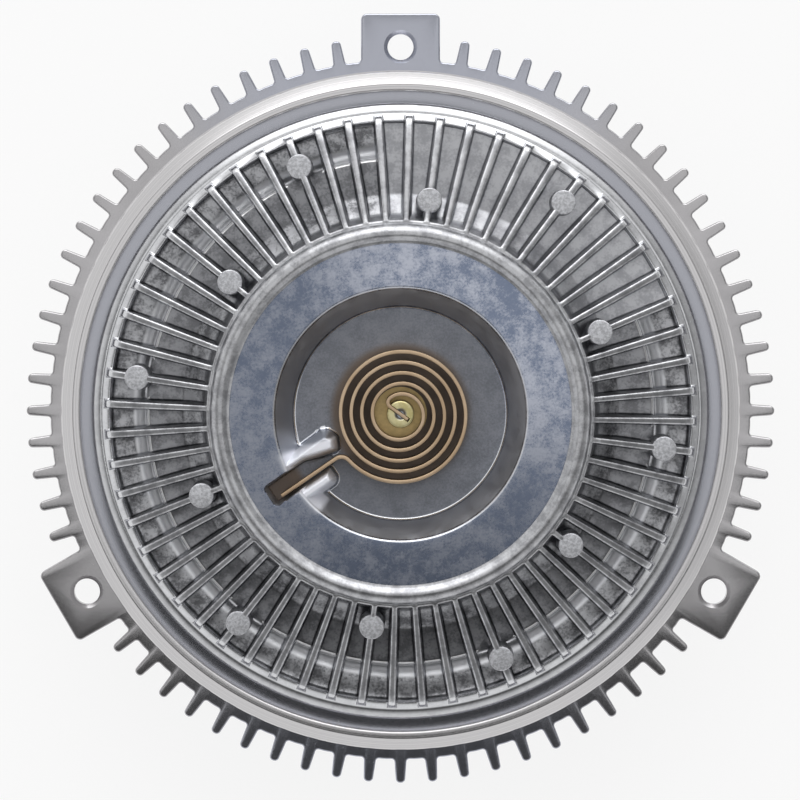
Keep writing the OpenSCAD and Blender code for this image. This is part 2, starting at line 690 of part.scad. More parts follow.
// round seal in the groove of the spindle
z_o_ring = z_bush + 2;
module valve_o_ring() {
  color("black") rotate_extrude() translate([spindle_d / 2 - 0.55, z_o_ring]) circle(r = 0.52, $fn = 32);
}

// spindle of the valve: slotted head for the coil, groove for the seal, square tenon for the lever
tenon_w = spindle_d * 0.6;
module valve_shaft() {
  head_r = spindle_head_d / 2;
  top = z_coil + strip_w + 0.3;
  color("khaki") difference() {
    union() {
      rotate_extrude() polygon([[0, z_lever + lever_t + fit], [spindle_d / 2, z_lever + lever_t + fit],
        [spindle_d / 2, z_o_ring - 0.8], [spindle_d / 2 - 1.1, z_o_ring - 0.8],
        [spindle_d / 2 - 1.1, z_o_ring + 0.8], [spindle_d / 2, z_o_ring + 0.8], [spindle_d / 2, z_coil],
        [head_r, z_coil], [head_r, top - 0.5], [head_r - 0.5, top],
        [1.3, top], [0.9, top - 0.8], [0, top - 0.8]]);
      translate([-tenon_w / 2, -tenon_w / 2, z_lever]) cube([tenon_w, tenon_w, lever_t + 1]);
    }
    rotate(tang_angle) translate([-tang_len - 0.4, -strip_t / 2 - tang_clear, z_coil + 0.4])
      cube([10, strip_t + 2 * tang_clear, 20]);
  }
}

// steel valve lever that covers the oil port at rest
module valve_lever() {
  tip = port_r + port_d / 2 + 1.5;
  color("silver") translate([0, 0, z_lever]) linear_extrude(lever_t) {
    difference() {
      circle(d = spindle_d + 4);
      square(tenon_w + 2 * fit, center = true);
    }
    translate([spindle_d / 2, -lever_w / 2]) square([tip - spindle_d / 2 - lever_w / 2, lever_w]);
    translate([port_r, 0]) circle(d = port_d + 3);
  }
}

// middle line of the bimetal strip: tang in the spindle, spiral, bend and outer leg
hook_r = 1.35;
tang_len = 2.2;
tang_clear = 0.1;
bend_r = 2.6;
leave_angle = slot_angle + asin(bend_r / (coil_out_r + bend_r));
spiral_in_r = spindle_head_d / 2 + coil_in_gap + strip_t / 2;
spiral_in_angle = leave_angle + 360 * coil_turns;
tang_angle = spiral_in_angle + asin(hook_r / (spiral_in_r - hook_r));
bend_turn = slot_angle - leave_angle + 90;
bend_c = (coil_out_r + bend_r) * [cos(leave_angle), sin(leave_angle)];
leg_start = bend_c + bend_r * [cos(slot_angle - 90), sin(slot_angle - 90)];
leg_dir = [cos(slot_angle), sin(slot_angle)];
spiral_steps = 136;
hook_c = (spiral_in_r - hook_r) * [cos(spiral_in_angle), sin(spiral_in_angle)];
function spiral_point(t) = (spiral_in_r + (coil_out_r - spiral_in_r) * t)
  * [cos(spiral_in_angle - 360 * coil_turns * t), sin(spiral_in_angle - 360 * coil_turns * t)];
function strip_path() = concat(
  [-tang_len * [cos(tang_angle), sin(tang_angle)], 1.9 * [cos(tang_angle), sin(tang_angle)]],
  arc(hook_c, hook_r, tang_angle + 90, spiral_in_angle + 12, 6),
  [for (i = [0 : spiral_steps]) spiral_point(i / spiral_steps)],
  arc(bend_c, bend_r, leave_angle + 180 + 12, leave_angle + 180 + bend_turn, 5),
  [leg_start + leg_len * leg_dir]);
function left_of(p, i) =
  let (a = p[max(0, i - 1)], b = p[min(len(p) - 1, i + 1)], d = (b - a) / norm(b - a)) [-d[1], d[0]];

// bimetal strip wound to a flat spiral
module bimetal_coil() {
  p = strip_path();
  n = len(p) - 1;
  color("darkkhaki") translate([0, 0, z_coil + 0.5]) linear_extrude(strip_w - 0.5)
    polygon(concat([for (i = [0 : n]) p[i] + strip_t / 2 * left_of(p, i)],
      [for (i = [n : -1 : 0]) p[i] - strip_t / 2 * left_of(p, i)]));
}

input_hub();
rotor();
rotor_retaining_ring();
bearing_inner_ring();
bearing_outer_ring();
bearing_balls();
bearing_cage();
bearing_rear_shield();
bearing_front_shield();
bearing_snap_ring();
rear_housing();
cover_seal_ring();
front_cover();
pump_wipers();
separator_plate();
separator_screws();
reservoir_cap();
cap_seal_ring();
valve_bush();
valve_o_ring();
valve_shaft();
valve_lever();
bimetal_coil();
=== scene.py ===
# %% [markdown]
# # A viscous fan clutch
# A viscous fan clutch sits between an engine's water pump and its cooling fan.  The pump turns the
# hub; a thin film of silicone oil inside the finned aluminium body drags the body and the fan
# round, and a bimetal coil on the front face opens the oil valve when the air gets hot.
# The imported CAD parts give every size.  This lesson rebuilds the pieces that show, with soft
# casting edges and real finishes, in the same frame: +Z is the shaft, towards the front.

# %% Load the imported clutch
import json
import math

import bmesh
import bpy
import numpy as np
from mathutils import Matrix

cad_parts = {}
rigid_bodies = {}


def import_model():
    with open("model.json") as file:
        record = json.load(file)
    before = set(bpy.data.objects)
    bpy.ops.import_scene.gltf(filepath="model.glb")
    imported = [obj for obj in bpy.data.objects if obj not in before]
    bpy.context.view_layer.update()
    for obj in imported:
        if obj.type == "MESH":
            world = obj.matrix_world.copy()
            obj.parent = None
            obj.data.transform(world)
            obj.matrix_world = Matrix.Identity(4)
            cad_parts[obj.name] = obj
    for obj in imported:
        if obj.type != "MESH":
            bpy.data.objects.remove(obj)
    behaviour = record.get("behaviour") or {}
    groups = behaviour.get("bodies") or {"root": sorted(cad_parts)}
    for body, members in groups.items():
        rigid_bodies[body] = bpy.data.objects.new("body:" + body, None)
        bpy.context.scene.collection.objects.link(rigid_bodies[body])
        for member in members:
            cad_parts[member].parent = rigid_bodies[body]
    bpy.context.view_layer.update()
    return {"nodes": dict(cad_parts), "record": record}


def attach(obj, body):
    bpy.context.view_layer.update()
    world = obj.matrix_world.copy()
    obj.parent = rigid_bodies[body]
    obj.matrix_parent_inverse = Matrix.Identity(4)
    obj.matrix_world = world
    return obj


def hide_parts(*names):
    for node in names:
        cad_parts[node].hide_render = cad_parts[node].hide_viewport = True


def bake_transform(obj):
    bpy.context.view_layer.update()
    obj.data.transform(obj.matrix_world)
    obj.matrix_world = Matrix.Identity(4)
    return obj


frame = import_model()
MM = 0.001

# %% [markdown]
# ## Shader maths that reads like maths
# A node tree is easier to follow as an expression.  `Wire` wraps one output socket and turns
# `a * b + c` into Math nodes; `Graph.node` makes any other node: its type, its settings first, then
# the values or wires of its inputs.

# %% A small wrapper for node sockets


class Wire:
    def __init__(self, graph, socket):
        self.graph, self.socket = graph, socket

    def math(self, operation, *values):
        sockets = dict(enumerate(values))
        return self.graph.node("ShaderNodeMath", {"operation": operation}, sockets)

    def __add__(self, other):
        return self.math("ADD", self, other)

    def __radd__(self, other):
        return self.math("ADD", other, self)

    def __sub__(self, other):
        return self.math("SUBTRACT", self, other)

    def __rsub__(self, other):
        return self.math("SUBTRACT", other, self)

    def __mul__(self, other):
        return self.math("MULTIPLY", self, other)

    def __rmul__(self, other):
        return self.math("MULTIPLY", other, self)

    def __truediv__(self, other):
        return self.math("DIVIDE", self, other)

    def __rtruediv__(self, other):
        return self.math("DIVIDE", other, self)

    def __pow__(self, other):
        return self.math("POWER", self, other)

    def step(self, low, high):
        """0 below low, 1 above high, smooth between."""
        return self.graph.node("ShaderNodeMapRange", {"interpolation_type": "SMOOTHSTEP"},
                               {"Value": self, "From Min": low, "From Max": high})

    def band(self, low, high, soft):
        """1 between low and high, fading over soft at each side."""
        return self.step(low - soft, low) * (1 - self.step(high, high + soft))


class Graph:
    def __init__(self, tree):
        self.tree = tree

    def node(self, kind, settings=None, sockets=None, out=0):
        made = self.tree.nodes.new(kind)
        for key, value in (settings or {}).items():
            setattr(made, key, value)
        for key, value in (sockets or {}).items():
            self.feed(made.inputs[key], value)
        return Wire(self, made.outputs[out])

    def feed(self, socket, value):
        if isinstance(value, Wire):
            self.tree.links.new(value.socket, socket)
        else:
            socket.default_value = value

    def split(self, vector):
        """The three components of a vector."""
        parts = self.node("ShaderNodeSeparateXYZ", None, {0: vector}).socket.node
        return [Wire(self, socket) for socket in parts.outputs]

    def mix(self, factor, first, second):
        return self.node("ShaderNodeMix", {"data_type": "RGBA"}, {0: factor, 6: first, 7: second}, 2)


def grey(value, red=0.0, blue=0.0):
    """A nearly neutral colour, a little redder or bluer."""
    return (value * (1 + red), value, value * (1 + blue), 1.0)


# %% [markdown]
# ## Meshes from profiles
# Most of a clutch is turned or cast round one axis, so the helpers here make closed bands of
# quads: `loop_band` joins rings of points, and `turned` spins an (r, z) outline.  Faces are shaded
# smooth, and edges sharper than a chosen angle stay crisp.

# %% Mesh helpers


def linked(name, data):
    """An object with this data, put into the scene."""
    made = bpy.data.objects.new(name, data)
    bpy.context.scene.collection.objects.link(made)
    return made


def solid(name, points, faces, sharp=35.0):
    """An object from points in millimetres, its normals outward."""
    mesh = bpy.data.meshes.new(name)
    mesh.from_pydata([tuple(p) for p in np.asarray(points) * MM], [], faces)
    work = bmesh.new()
    work.from_mesh(mesh)
    bmesh.ops.remove_doubles(work, verts=work.verts, dist=0.002 * MM)
    bmesh.ops.recalc_face_normals(work, faces=work.faces)
    work.to_mesh(mesh)
    work.free()
    return shaded(linked(name, mesh), sharp)


def shaded(made, sharp=35.0):
    made.data.shade_smooth()
    made.data.set_sharp_from_angle(angle=math.radians(sharp))
    return made


def between(name, first, second):
    """A prism between two outlines of the same form."""
    count = len(first)
    faces = [tuple(range(count)), tuple(range(2 * count - 1, count - 1, -1))]
    faces += [(i, count + i, count + (i + 1) % count, (i + 1) % count) for i in range(count)]
    return solid(name, first + second, faces)


def prism(name, plan, low, high):
    """A plan outline raised from one level to another."""
    return between(name, [(x, y, low) for x, y in plan], [(x, y, high) for x, y in plan])


def loop_band(rows, closed_columns=True):
    """Points and quads of a grid: rows of equal length, the last joined to the first."""
    rows = np.asarray(rows)
    count, width = rows.shape[:2]
    faces = []
    for i in range(count):
        for j in range(width if closed_columns else width - 1):
            k, l = (i + 1) % count, (j + 1) % width
            faces.append((i * width + j, i * width + l, k * width + l, k * width + j))
    return rows.reshape(-1, 3), faces


def turned(name, outline, steps):
    """Spin a closed (r, z) outline round +Z."""
    angle = np.linspace(0, 2 * math.pi, steps, endpoint=False)
    rows = [np.stack([r * np.cos(angle), r * np.sin(angle), np.full(steps, z)], 1) for r, z in outline]
    return solid(name, *loop_band(rows))


def rounded(outline, radii, steps):
    """A closed outline with its corners rounded: one radius for each corner."""
    made = []
    for i, (corner, radius) in enumerate(zip(np.asarray(outline, float), radii)):
        if radius == 0:
            made.append(tuple(corner))
            continue
        back = np.asarray(outline[i - 1], float) - corner
        on = np.asarray(outline[(i + 1) % len(outline)], float) - corner
        lengths = np.linalg.norm(back), np.linalg.norm(on)
        back, on = back / lengths[0], on / lengths[1]
        half = math.acos(np.clip(back @ on, -1, 1)) / 2
        reach = min(radius / math.tan(half), 0.49 * min(lengths))
        centre = corner + (back + on) / np.linalg.norm(back + on) * reach / math.cos(half)
        first, last = corner + back * reach - centre, corner + on * reach - centre
        for t in np.linspace(0, 1, steps):
            spoke = first * (1 - t) + last * t
            made.append(tuple(centre + spoke * np.linalg.norm(first) / np.linalg.norm(spoke)))
    return made


def eased(section, steps):
    """A closed outline whose points carry the radius of their corner as a third number."""
    return rounded([p[:2] for p in section], [p[2] for p in section], steps)


def joined(name, pieces, sharp=35.0, weld=0.0):
    """One object out of several, with its own mesh; every piece keeps its material."""
    work, finishes = bmesh.new(), []
    for piece in pieces:
        first, finish = len(work.faces), [made for made in piece.data.materials if made][-1:]
        finishes += [made for made in finish if made not in finishes]
        work.from_mesh(piece.data)
        work.faces.ensure_lookup_table()
        for face in work.faces[first:]:
            face.material_index = finishes.index(finish[0]) if finish else 0
        bpy.data.objects.remove(piece)
    bmesh.ops.remove_doubles(work, verts=work.verts, dist=weld * MM)
    mesh = bpy.data.meshes.new(name)
    work.to_mesh(mesh)
    work.free()
    for finish in finishes:
        mesh.materials.append(finish)
    return shaded(linked(name, mesh), sharp)


def applied(piece):
    """A new mesh of the piece with its modifiers in it; the piece loses them."""
    evaluated = piece.evaluated_get(bpy.context.evaluated_depsgraph_get())
    mesh = bpy.data.meshes.new_from_object(evaluated)
    piece.modifiers.clear()
    return mesh


def cut(body, tool):
    """Take the tool's volume out of the body."""
    change = body.modifiers.new("cut", "BOOLEAN")
    change.operation, change.solver, change.object = "DIFFERENCE", "EXACT", tool
    body.data = applied(body)
    bpy.data.objects.remove(tool)
    return body


print("mesh helpers ready")

# %% [markdown]
# ## Repeating a piece round the axis
# Sixty fins, twelve posts, thirty-six rear fins: each is modelled once and a Geometry Nodes tree
# turns copies of it round +Z.  The copies are realised, welded where they meet and given their
# material, so the result is one plain mesh.

# %% The ring tree


def begin_tree(title, inputs):
    """A tree from geometry to geometry, with its inputs as wires under their names."""
    tree = bpy.data.node_groups.new(title, "GeometryNodeTree")
    for name, kind in (("Geometry", "Geometry"), *inputs, ("Material", "Material")):
        tree.interface.new_socket(name, in_out="INPUT", socket_type="NodeSocket" + kind)
    tree.interface.new_socket("Geometry", in_out="OUTPUT", socket_type="NodeSocketGeometry")
    graph = Graph(tree)
    given = tree.nodes.new("NodeGroupInput")
    return graph, {socket.name: Wire(graph, socket) for socket in given.outputs if socket.name}


def end_tree(graph, geometry, material):
    """Give the geometry its material and send it out."""
    done = graph.node("GeometryNodeSetMaterial", None, {"Geometry": geometry, "Material": material})
    graph.feed(graph.tree.nodes.new("NodeGroupOutput").inputs[0], done)
    return graph.tree


def ring_tree():
    graph, wire = begin_tree("ring of copies", (("Copies", "Int"), ("Start angle", "Float"),
                                                ("Step angle", "Float"), ("Weld", "Float")))
    points = graph.node("GeometryNodePoints", None, {"Count": wire["Copies"]})
    index = graph.node("GeometryNodeInputIndex")
    turn = wire["Start angle"] + index * wire["Step angle"]
    euler = graph.node("ShaderNodeCombineXYZ", None, {"Z": turn})
    rotation = graph.node("FunctionNodeEulerToRotation", None, {"Euler": euler})
    copies = graph.node("GeometryNodeInstanceOnPoints", None,
                        {"Points": points, "Instance": wire["Geometry"], "Rotation": rotation})
    real = graph.node("GeometryNodeRealizeInstances", None, {"Geometry": copies})
    weld = graph.node("GeometryNodeMergeByDistance", None, {"Geometry": real, "Distance": wire["Weld"]})
    return end_tree(graph, weld, wire["Material"])


def grown(piece, tree, inputs, sharp=35.0):
    """Run a Geometry Nodes tree on a piece and keep the result as its mesh."""
    change = piece.modifiers.new("grow", "NODES")
    change.node_group = tree
    names = {item.name: item.identifier for item in tree.interface.items_tree if item.in_out == "INPUT"}
    for name, value in inputs.items():
        change[names[name]] = value
    made = linked(piece.name, applied(piece))
    bpy.data.objects.remove(piece)
    return shaded(made, sharp)


RING, WELD = ring_tree(), 0.004


def ring(piece, copies, start, step, material):
    """Copies of a piece turned round +Z, the angles in degrees."""
    return grown(piece, RING, {"Copies": copies, "Start angle": math.radians(start),
                               "Step angle": math.radians(step), "Weld": WELD * MM, "Material": material})


print("ring tree has", len(RING.nodes), "nodes")

# %% [markdown]
# ## Finishes
# The body is die-cast aluminium: pale, slightly mottled, with a fine skin.  Where a tool has faced
# it, round lines follow the radius.  Each material is a short expression of the distance from the
# axis, the height, the direction and some noise, in Object coordinates, so it stays with the part.

# %% A base for the materials


def cleared(owner):
    """The node tree of a material or a world, emptied to build in."""
    owner.use_nodes = True
    owner.node_tree.nodes.clear()
    return Graph(owner.node_tree)


def material(name, paint):
    made = bpy.data.materials.new(name)
    graph = cleared(made)
    shader = made.node_tree.nodes.new("ShaderNodeBsdfPrincipled")
    target = made.node_tree.nodes.new("ShaderNodeOutputMaterial")
    made.node_tree.links.new(shader.outputs[0], target.inputs[0])
    for key, value in paint(graph).items():
        graph.feed(shader.inputs[key], value)
    return made


def place(graph):
    """Object position in metres, then distance from the axis and height in millimetres."""
    where = graph.node("ShaderNodeTexCoord", out="Object")
    x, y, z = graph.split(where)
    return where, (x * x + y * y) ** 0.5 / MM, z / MM


def facing(graph, where, radius, degrees):
    """The cosine of the turn between a point and a direction round the axis."""
    turn = math.radians(degrees)
    along = graph.node("ShaderNodeVectorMath", {"operation": "DOT_PRODUCT"},
                       {0: where, 1: (math.cos(turn), math.sin(turn), 0)}, 1)
    return along / (radius * MM)


def noise(graph, where, scale, detail=3.0, rough=0.55):
    return graph.node("ShaderNodeTexNoise", None,
                      {"Vector": where, "Scale": scale, "Detail": detail, "Roughness": rough})


def lines(graph, radius, pitch):
    """Turning marks: uneven rings that depend on the radius alone."""
    spot = graph.node("ShaderNodeCombineXYZ", None, {"X": radius / pitch})
    return noise(graph, spot, 1.0, 2.0)


def bump(graph, height, strength, distance):
    return graph.node("ShaderNodeBump", None,
                      {"Height": height, "Strength": strength, "Distance": distance * MM})


def plain(name, colour, metallic, roughness, scale, spread, relief=0.0):
    """An even finish with a little noise in its colour and roughness."""
    def paint(graph):
        where, _, _ = place(graph)
        grain = noise(graph, where, scale)
        dark = tuple(c * (1 - spread) for c in colour[:3]) + (1.0,)
        made = {"Base Color": graph.mix(grain.step(0.3, 0.7), dark, colour), "Metallic": metallic,
                "Roughness": roughness * (0.85 + 0.3 * grain)}
        if relief:
            made["Normal"] = bump(graph, grain, relief, 0.05)
        return made
    return material(name, paint)


print("finish helpers ready")

# %% [markdown]
# ## The cast aluminium finish
# One alloy, two casts.  The finned cover keeps its speckled die-cast skin, and light and shade are
# painted
# on it: each fin's crest has a painted shade in its middle, and the pocket floors are painted darker as
# shade, with a painted highlight on the roll beside the groove and a painted highlight line along the
# step.  The ring round them is clean.  The plain pockets are painted lighter than the grooved ones, as
# light on that side.
# The body's flange is duller, with a painted bluish reflection at its top and bottom and a painted shade
# on its bevel, strongest on the right, and the rim beside it is turned bright.

# %% Cast aluminium
FINS, FIN_START = 60, 4.3
# zones of the cover, from the collar outwards, then levels of its pockets and the plain stretch
COLLAR_FOOT, FIN_SPAN, PAD_SPAN, PAD_RIM = (48.2, 48.6), (50.5, 72.5), (55.2, 64.0), (63.4, 64.1)
ROLL_SPAN, RING_FOOT, FACED_SPAN = (64.6, 66.8), (72.8, 73.1), (77.7, 80.6)
POCKET_TOP, PAD_LEVEL = (48.5, 51.5), (45, 46.78)
PLAIN_TURN, PLAIN_ENDS = 58.3, (0.79, 0.83)
# zones of the body's rim
RIM_SPAN, BEVEL_SPAN = (80.4, 86.1), (83.1, 85.2)


def from_fin(graph, where, radius):
    """Distance from the middle of the nearest fin, in millimetres along the circle."""
    x, y, _ = graph.split(where)
    turn = y.math("ARCTAN2", y, x)
    share = turn * (FINS / math.tau) + (FINS + 0.5 - FIN_START * FINS / 360)
    share = share.math("FRACT", share) - 0.5
    return share.math("ABSOLUTE", share) * (math.tau / FINS) * radius


def paint_pockets(graph, where, radius, mottle):
    """Colour of the floors, with painted light and shade: dark pads inside the step, the groove with a
    painted highlight on its roll, and the plain stretch painted lighter.
    """
    # Painted shade: in the grooved pockets the pads and the groove are painted dark.
    pad = graph.mix(mottle, grey(0.20, -0.01, 0.06), grey(0.37, -0.01, 0.05))
    groove = graph.mix(mottle, grey(0.16, -0.01, 0.06), grey(0.50, -0.01, 0.04))
    # Painted highlight: the roll beside the groove is painted bright.
    groove = graph.mix(radius.band(*ROLL_SPAN, 1.0), groove, grey(0.88, -0.01, 0.03))
    grooved = graph.mix(radius.band(*PAD_SPAN, 0.4), groove, pad)
    # Painted light: the plain stretch on the upper right is painted lighter than the grooved pockets.
    even = graph.mix(mottle, grey(0.40, -0.01, 0.06), grey(0.58, -0.01, 0.04))
    return graph.mix(facing(graph, where, radius, PLAIN_TURN).step(*PLAIN_ENDS), grooved, even)


def paint_cover(graph):
    where, radius, height = place(graph)
    skin = noise(graph, where, 1500.0, 4.0, 0.65)
    cloud = noise(graph, where, 260.0, 4.0, 0.6)
    speck = (0.35 * skin + 0.65 * cloud).step(0.38, 0.60)
    base = graph.mix(speck, grey(0.36, -0.01, 0.05), grey(0.70, -0.01, 0.03))
    mottle = (0.4 * skin + 0.6 * cloud).step(0.40, 0.59)
    # The pocket floors take the colours of paint_pockets, with their painted light and shade.
    deep = (1 - height.step(*POCKET_TOP)) * (1 - radius.step(FIN_SPAN[1], FIN_SPAN[1] + 0.5))
    base = graph.mix(deep, base, paint_pockets(graph, where, radius, mottle))
    # Painted shade: each fin's crest is darker in its middle.
    crest_middle_shade = (1 - from_fin(graph, where, radius).step(0.25, 0.6)) * (1 - deep)
    base = graph.mix(0.6 * crest_middle_shade * radius.band(*FIN_SPAN, 0.5), base, grey(0.28, -0.01, 0.05))
    # Painted highlight: a bright line along the step round the pads.
    step_highlight = radius.band(*PAD_RIM, 0.08) * height.band(*PAD_LEVEL, 0.02)
    base = graph.mix(step_highlight, base, grey(0.97))
    clean = radius.step(*RING_FOOT)
    base = graph.mix(0.7 * clean, base, grey(0.82, -0.01, 0.03))
    collar = 1 - radius.step(*COLLAR_FOOT)
    base = graph.mix(0.3 * collar, base, grey(0.30, -0.01, 0.05))
    base = graph.mix(radius.band(*FACED_SPAN, 0.2), base, grey(0.46, -0.02, 0.10))
    rough = 0.26 + 0.16 * skin + 0.02 * deep - 0.1 * clean
    return {"Base Color": base, "Metallic": 1.0, "Roughness": rough,
            "Normal": bump(graph, (skin + 0.8 * cloud) * (1 - 0.8 * clean), 0.20, 0.06)}


def paint_housing(graph):
    where, radius, _ = place(graph)
    skin = noise(graph, where, 1400.0, 4.0)
    cloud = noise(graph, where, 45.0, 3.0)
    base = graph.mix(cloud.step(0.3, 0.7), grey(0.46, 0.02, 0.02), grey(0.54, 0.02, 0.02))
    # Painted reflection: the flange is tinted bluer at its top and bottom.
    upright = facing(graph, where, radius, 90)
    base = graph.mix((upright * upright).step(0.5, 0.95), base, grey(0.49, -0.03, 0.13))
    rim = radius.band(*RIM_SPAN, 0.3)
    base = graph.mix(rim, base, grey(0.70, 0.02, 0.01))
    # Painted shade on the bevel, strongest on the right.
    bevel_shade = 0.30 + 0.25 * facing(graph, where, radius, 10).step(0.5, 1.0)
    base = graph.mix(radius.band(*BEVEL_SPAN, 0.3) * bevel_shade, base, grey(0.40, 0.02, 0.01))
    turning = lines(graph, radius, 0.3)
    base = graph.mix(0.3 * rim * turning.step(0.4, 0.6), base, grey(0.40, -0.01, 0.03))
    return {"Base Color": base, "Metallic": 1.0, "Roughness": 0.20 + 0.1 * skin * (1 - rim) + 0.06 * rim,
            "Normal": bump(graph, skin * (1 - rim) + 2 * turning * rim, 0.14, 0.05)}


def paint_post(graph):
    where, _, _ = place(graph)
    skin = noise(graph, where, 1500.0, 4.0, 0.7)
    base = graph.mix(skin.step(0.35, 0.65), grey(0.46, -0.01, 0.05), grey(0.74, -0.01, 0.04))
    return {"Base Color": base, "Metallic": 1.0, "Roughness": 0.42 + 0.2 * skin,
            "Normal": bump(graph, skin, 0.35, 0.08)}


COVER_CAST = material("die-cast cover", paint_cover)
POST_CAST = material("rough post faces", paint_post)
HOUSING_CAST = material("cast body", paint_housing)
print("cast aluminium ready")

# %% [markdown]
# ## The rear housing with its toothed flange
# The fan bolts to three lugs on the flange.  Between them the flange edge carries small square
# teeth that stir the air.  A third of the outline, one lug and its teeth, is drawn with rounded
# corners and turned twice more to close it; stacked copies of it make a soft casting edge.

# %% One third of the flange
TOOTH_PLACES, LUG_PLACES = 72, 3
ROOT_R, TIP_R, LUG_R = 88.9, 95.0, 100.6
TIP_W, ROOT_W, LUG_W = 2.3, 3.1, 20.0
Z_FLANGE_REAR, Z_FLANGE = 35.7, 40.2
RIM_R = 86.0


def arc(radius, start, end, steps):
    angle = np.radians(np.linspace(start, end, steps))
    return np.stack([radius * np.cos(angle), radius * np.sin(angle)], 1)


def ray(radius, turn):
    return arc(radius, turn, turn, 1)[0]


def spun(points, degrees):
    c, s = math.cos(math.radians(degrees)), math.sin(math.radians(degrees))
    return np.asarray(points) @ np.array([[c, s], [-s, c]])


def flange_third():
    """Outline points counter-clockwise from one valley beside the lug to the next third's."""
    pitch = 360 / TOOTH_PLACES
    lug_half = math.degrees(math.asin(LUG_W / 2 / ROOT_R))
    lug_x = math.sqrt(ROOT_R ** 2 - (LUG_W / 2) ** 2)
    lug = [(lug_x, -LUG_W / 2), (LUG_R, -LUG_W / 2), (LUG_R, LUG_W / 2), (lug_x, LUG_W / 2)]
    valley = [spun([(ROOT_R, 0)], side * (lug_half + 1.1))[0] for side in (-1, 1)]
    points = rounded([valley[0]] + lug + [valley[1]], [0, 1.6, 1.5, 1.5, 1.6, 0], 6)
    root_x = math.sqrt(ROOT_R ** 2 - (ROOT_W / 2) ** 2)
    gap = math.radians(pitch / 2 - 0.25) * ROOT_R
    tooth = rounded([(ROOT_R, -gap), (root_x, -ROOT_W / 2), (TIP_R, -TIP_W / 2), (TIP_R, TIP_W / 2),
                     (root_x, ROOT_W / 2), (ROOT_R, gap)], [0, 0.8, 1.1, 1.1, 0.8, 0], 6)
    for k in range(2, TOOTH_PLACES // 3 - 1):
        points += list(spun(tooth, k * pitch))
    return np.array(points)


third = flange_third()
print("a third of the flange outline has", len(third), "points")

# %% The flange with soft edges
FLANGE_EDGE = 0.45


def inward(outline, distance):
    """The outline moved towards its inside."""
    ahead = np.roll(outline, -1, 0) - np.roll(outline, 1, 0)
    side = np.stack([-ahead[:, 1], ahead[:, 0]], 1)
    return outline + side / np.linalg.norm(side, axis=1)[:, None] * distance


whole = np.concatenate([spun(third, 120 * k + 90) for k in range(LUG_PLACES)])
slices = [(whole * (RIM_R - 1) / np.linalg.norm(whole, axis=1)[:, None], Z_FLANGE_REAR)]
for level, depth, turns in ((Z_FLANGE_REAR, FLANGE_EDGE, (90, 60, 30, 0)),
                            (Z_FLANGE, -FLANGE_EDGE, (0, 30, 60, 90))):
    for t in np.radians(turns):
        slices.append((inward(whole, FLANGE_EDGE * (1 - math.cos(t))), level + depth * (1 - math.sin(t))))
slices.append((slices[0][0], Z_FLANGE))
flange = solid("flange", *loop_band([np.column_stack([p, np.full(len(p), z)]) for p, z in slices]))
print("flange has", len(flange.data.polygons), "faces")

# %% [markdown]
# Three bolt holes take the fan.  Their mouths are countersunk a little, as a drill leaves them
# after deburring, so each hole is cut with a turned tool that flares at both faces.

# %% Bolt holes in the lugs
FAN_R, HOLE_R, HOLE_CHAMFER = 92.2, 3.3, 0.9
for k in range(LUG_PLACES):
    flare = HOLE_R + HOLE_CHAMFER + 0.2
    tool = turned("drill", [(0.0, 30), (flare, 30), (flare, Z_FLANGE_REAR - 0.2),
                            (HOLE_R, Z_FLANGE_REAR + HOLE_CHAMFER), (HOLE_R, Z_FLANGE - HOLE_CHAMFER),
                            (flare, Z_FLANGE + 0.2), (flare, 45), (0.0, 45)], 48)
    angle = math.radians(90 + 120 * k)
    tool.location = (FAN_R * MM * math.cos(angle), FAN_R * MM * math.sin(angle), 0)
    bpy.context.view_layer.update()
    cut(flange, tool)
print("flange with holes has", len(flange.data.polygons), "faces")

# %% [markdown]
# The drum behind the flange is one turned casting: boss, rear wall, drum and the rim that is
# rolled over the cover's edge.  Its outline follows the CAD section, with the corners that show
# rounded, and the grooves for the bearing's snap ring and the cover's seal left open.

# %% Drum and rolled rim
Z_BOSS, Z_BEARING, Z_WALL, Z_CHAMBER = 11.0, 12.5, 26.0, 30.2
Z_ROOF, Z_EDGE, Z_RIM = 41.8, 46.5, 49.7
NECK_R, BEARING_R, BOSS_R, CHAMBER_R, DRUM_R = 17.5, 26.02, 33.0, 75.0, 82.0
EDGE_R, LIP_R = 83.4, 80.6
SNAP_Z, SNAP_R, SEAL_Z, SEAL_R = (27.5, 29.0), 27.5, 40.4, (78.0, 80.4)
section = [(NECK_R, Z_BOSS, 0.4), (BOSS_R, Z_BOSS, 1.0), (BOSS_R + 1, Z_WALL, 2.0),
           (DRUM_R, Z_WALL, 3.0), (DRUM_R, Z_FLANGE_REAR + 1, 0), (RIM_R - 0.5, Z_FLANGE_REAR + 1, 0),
           (RIM_R - 0.5, Z_FLANGE - 0.1, 0), (RIM_R, Z_FLANGE - 0.1, 0), (RIM_R - 0.35, Z_RIM - 3.1, 0.8),
           (RIM_R - 3.4, Z_RIM, 0.7), (LIP_R, Z_RIM, 0.7), (LIP_R, Z_EDGE + 0.02, 0.3),
           (EDGE_R, Z_EDGE + 0.02, 0),
           (EDGE_R, Z_ROOF, 0), (SEAL_R[1], Z_ROOF, 0), (SEAL_R[1], SEAL_Z, 0), (SEAL_R[0], SEAL_Z, 0),
           (SEAL_R[0], Z_ROOF, 0), (CHAMBER_R, Z_ROOF, 0), (CHAMBER_R, Z_CHAMBER, 0),
           (BEARING_R, Z_CHAMBER, 0), (BEARING_R, SNAP_Z[1], 0), (SNAP_R, SNAP_Z[1], 0),
           (SNAP_R, SNAP_Z[0], 0), (BEARING_R, SNAP_Z[0], 0), (BEARING_R, Z_BEARING, 0),
           (NECK_R, Z_BEARING, 0.4)]
drum = turned("drum", eased(section, 7), 288)
print("drum has", len(drum.data.polygons), "faces")

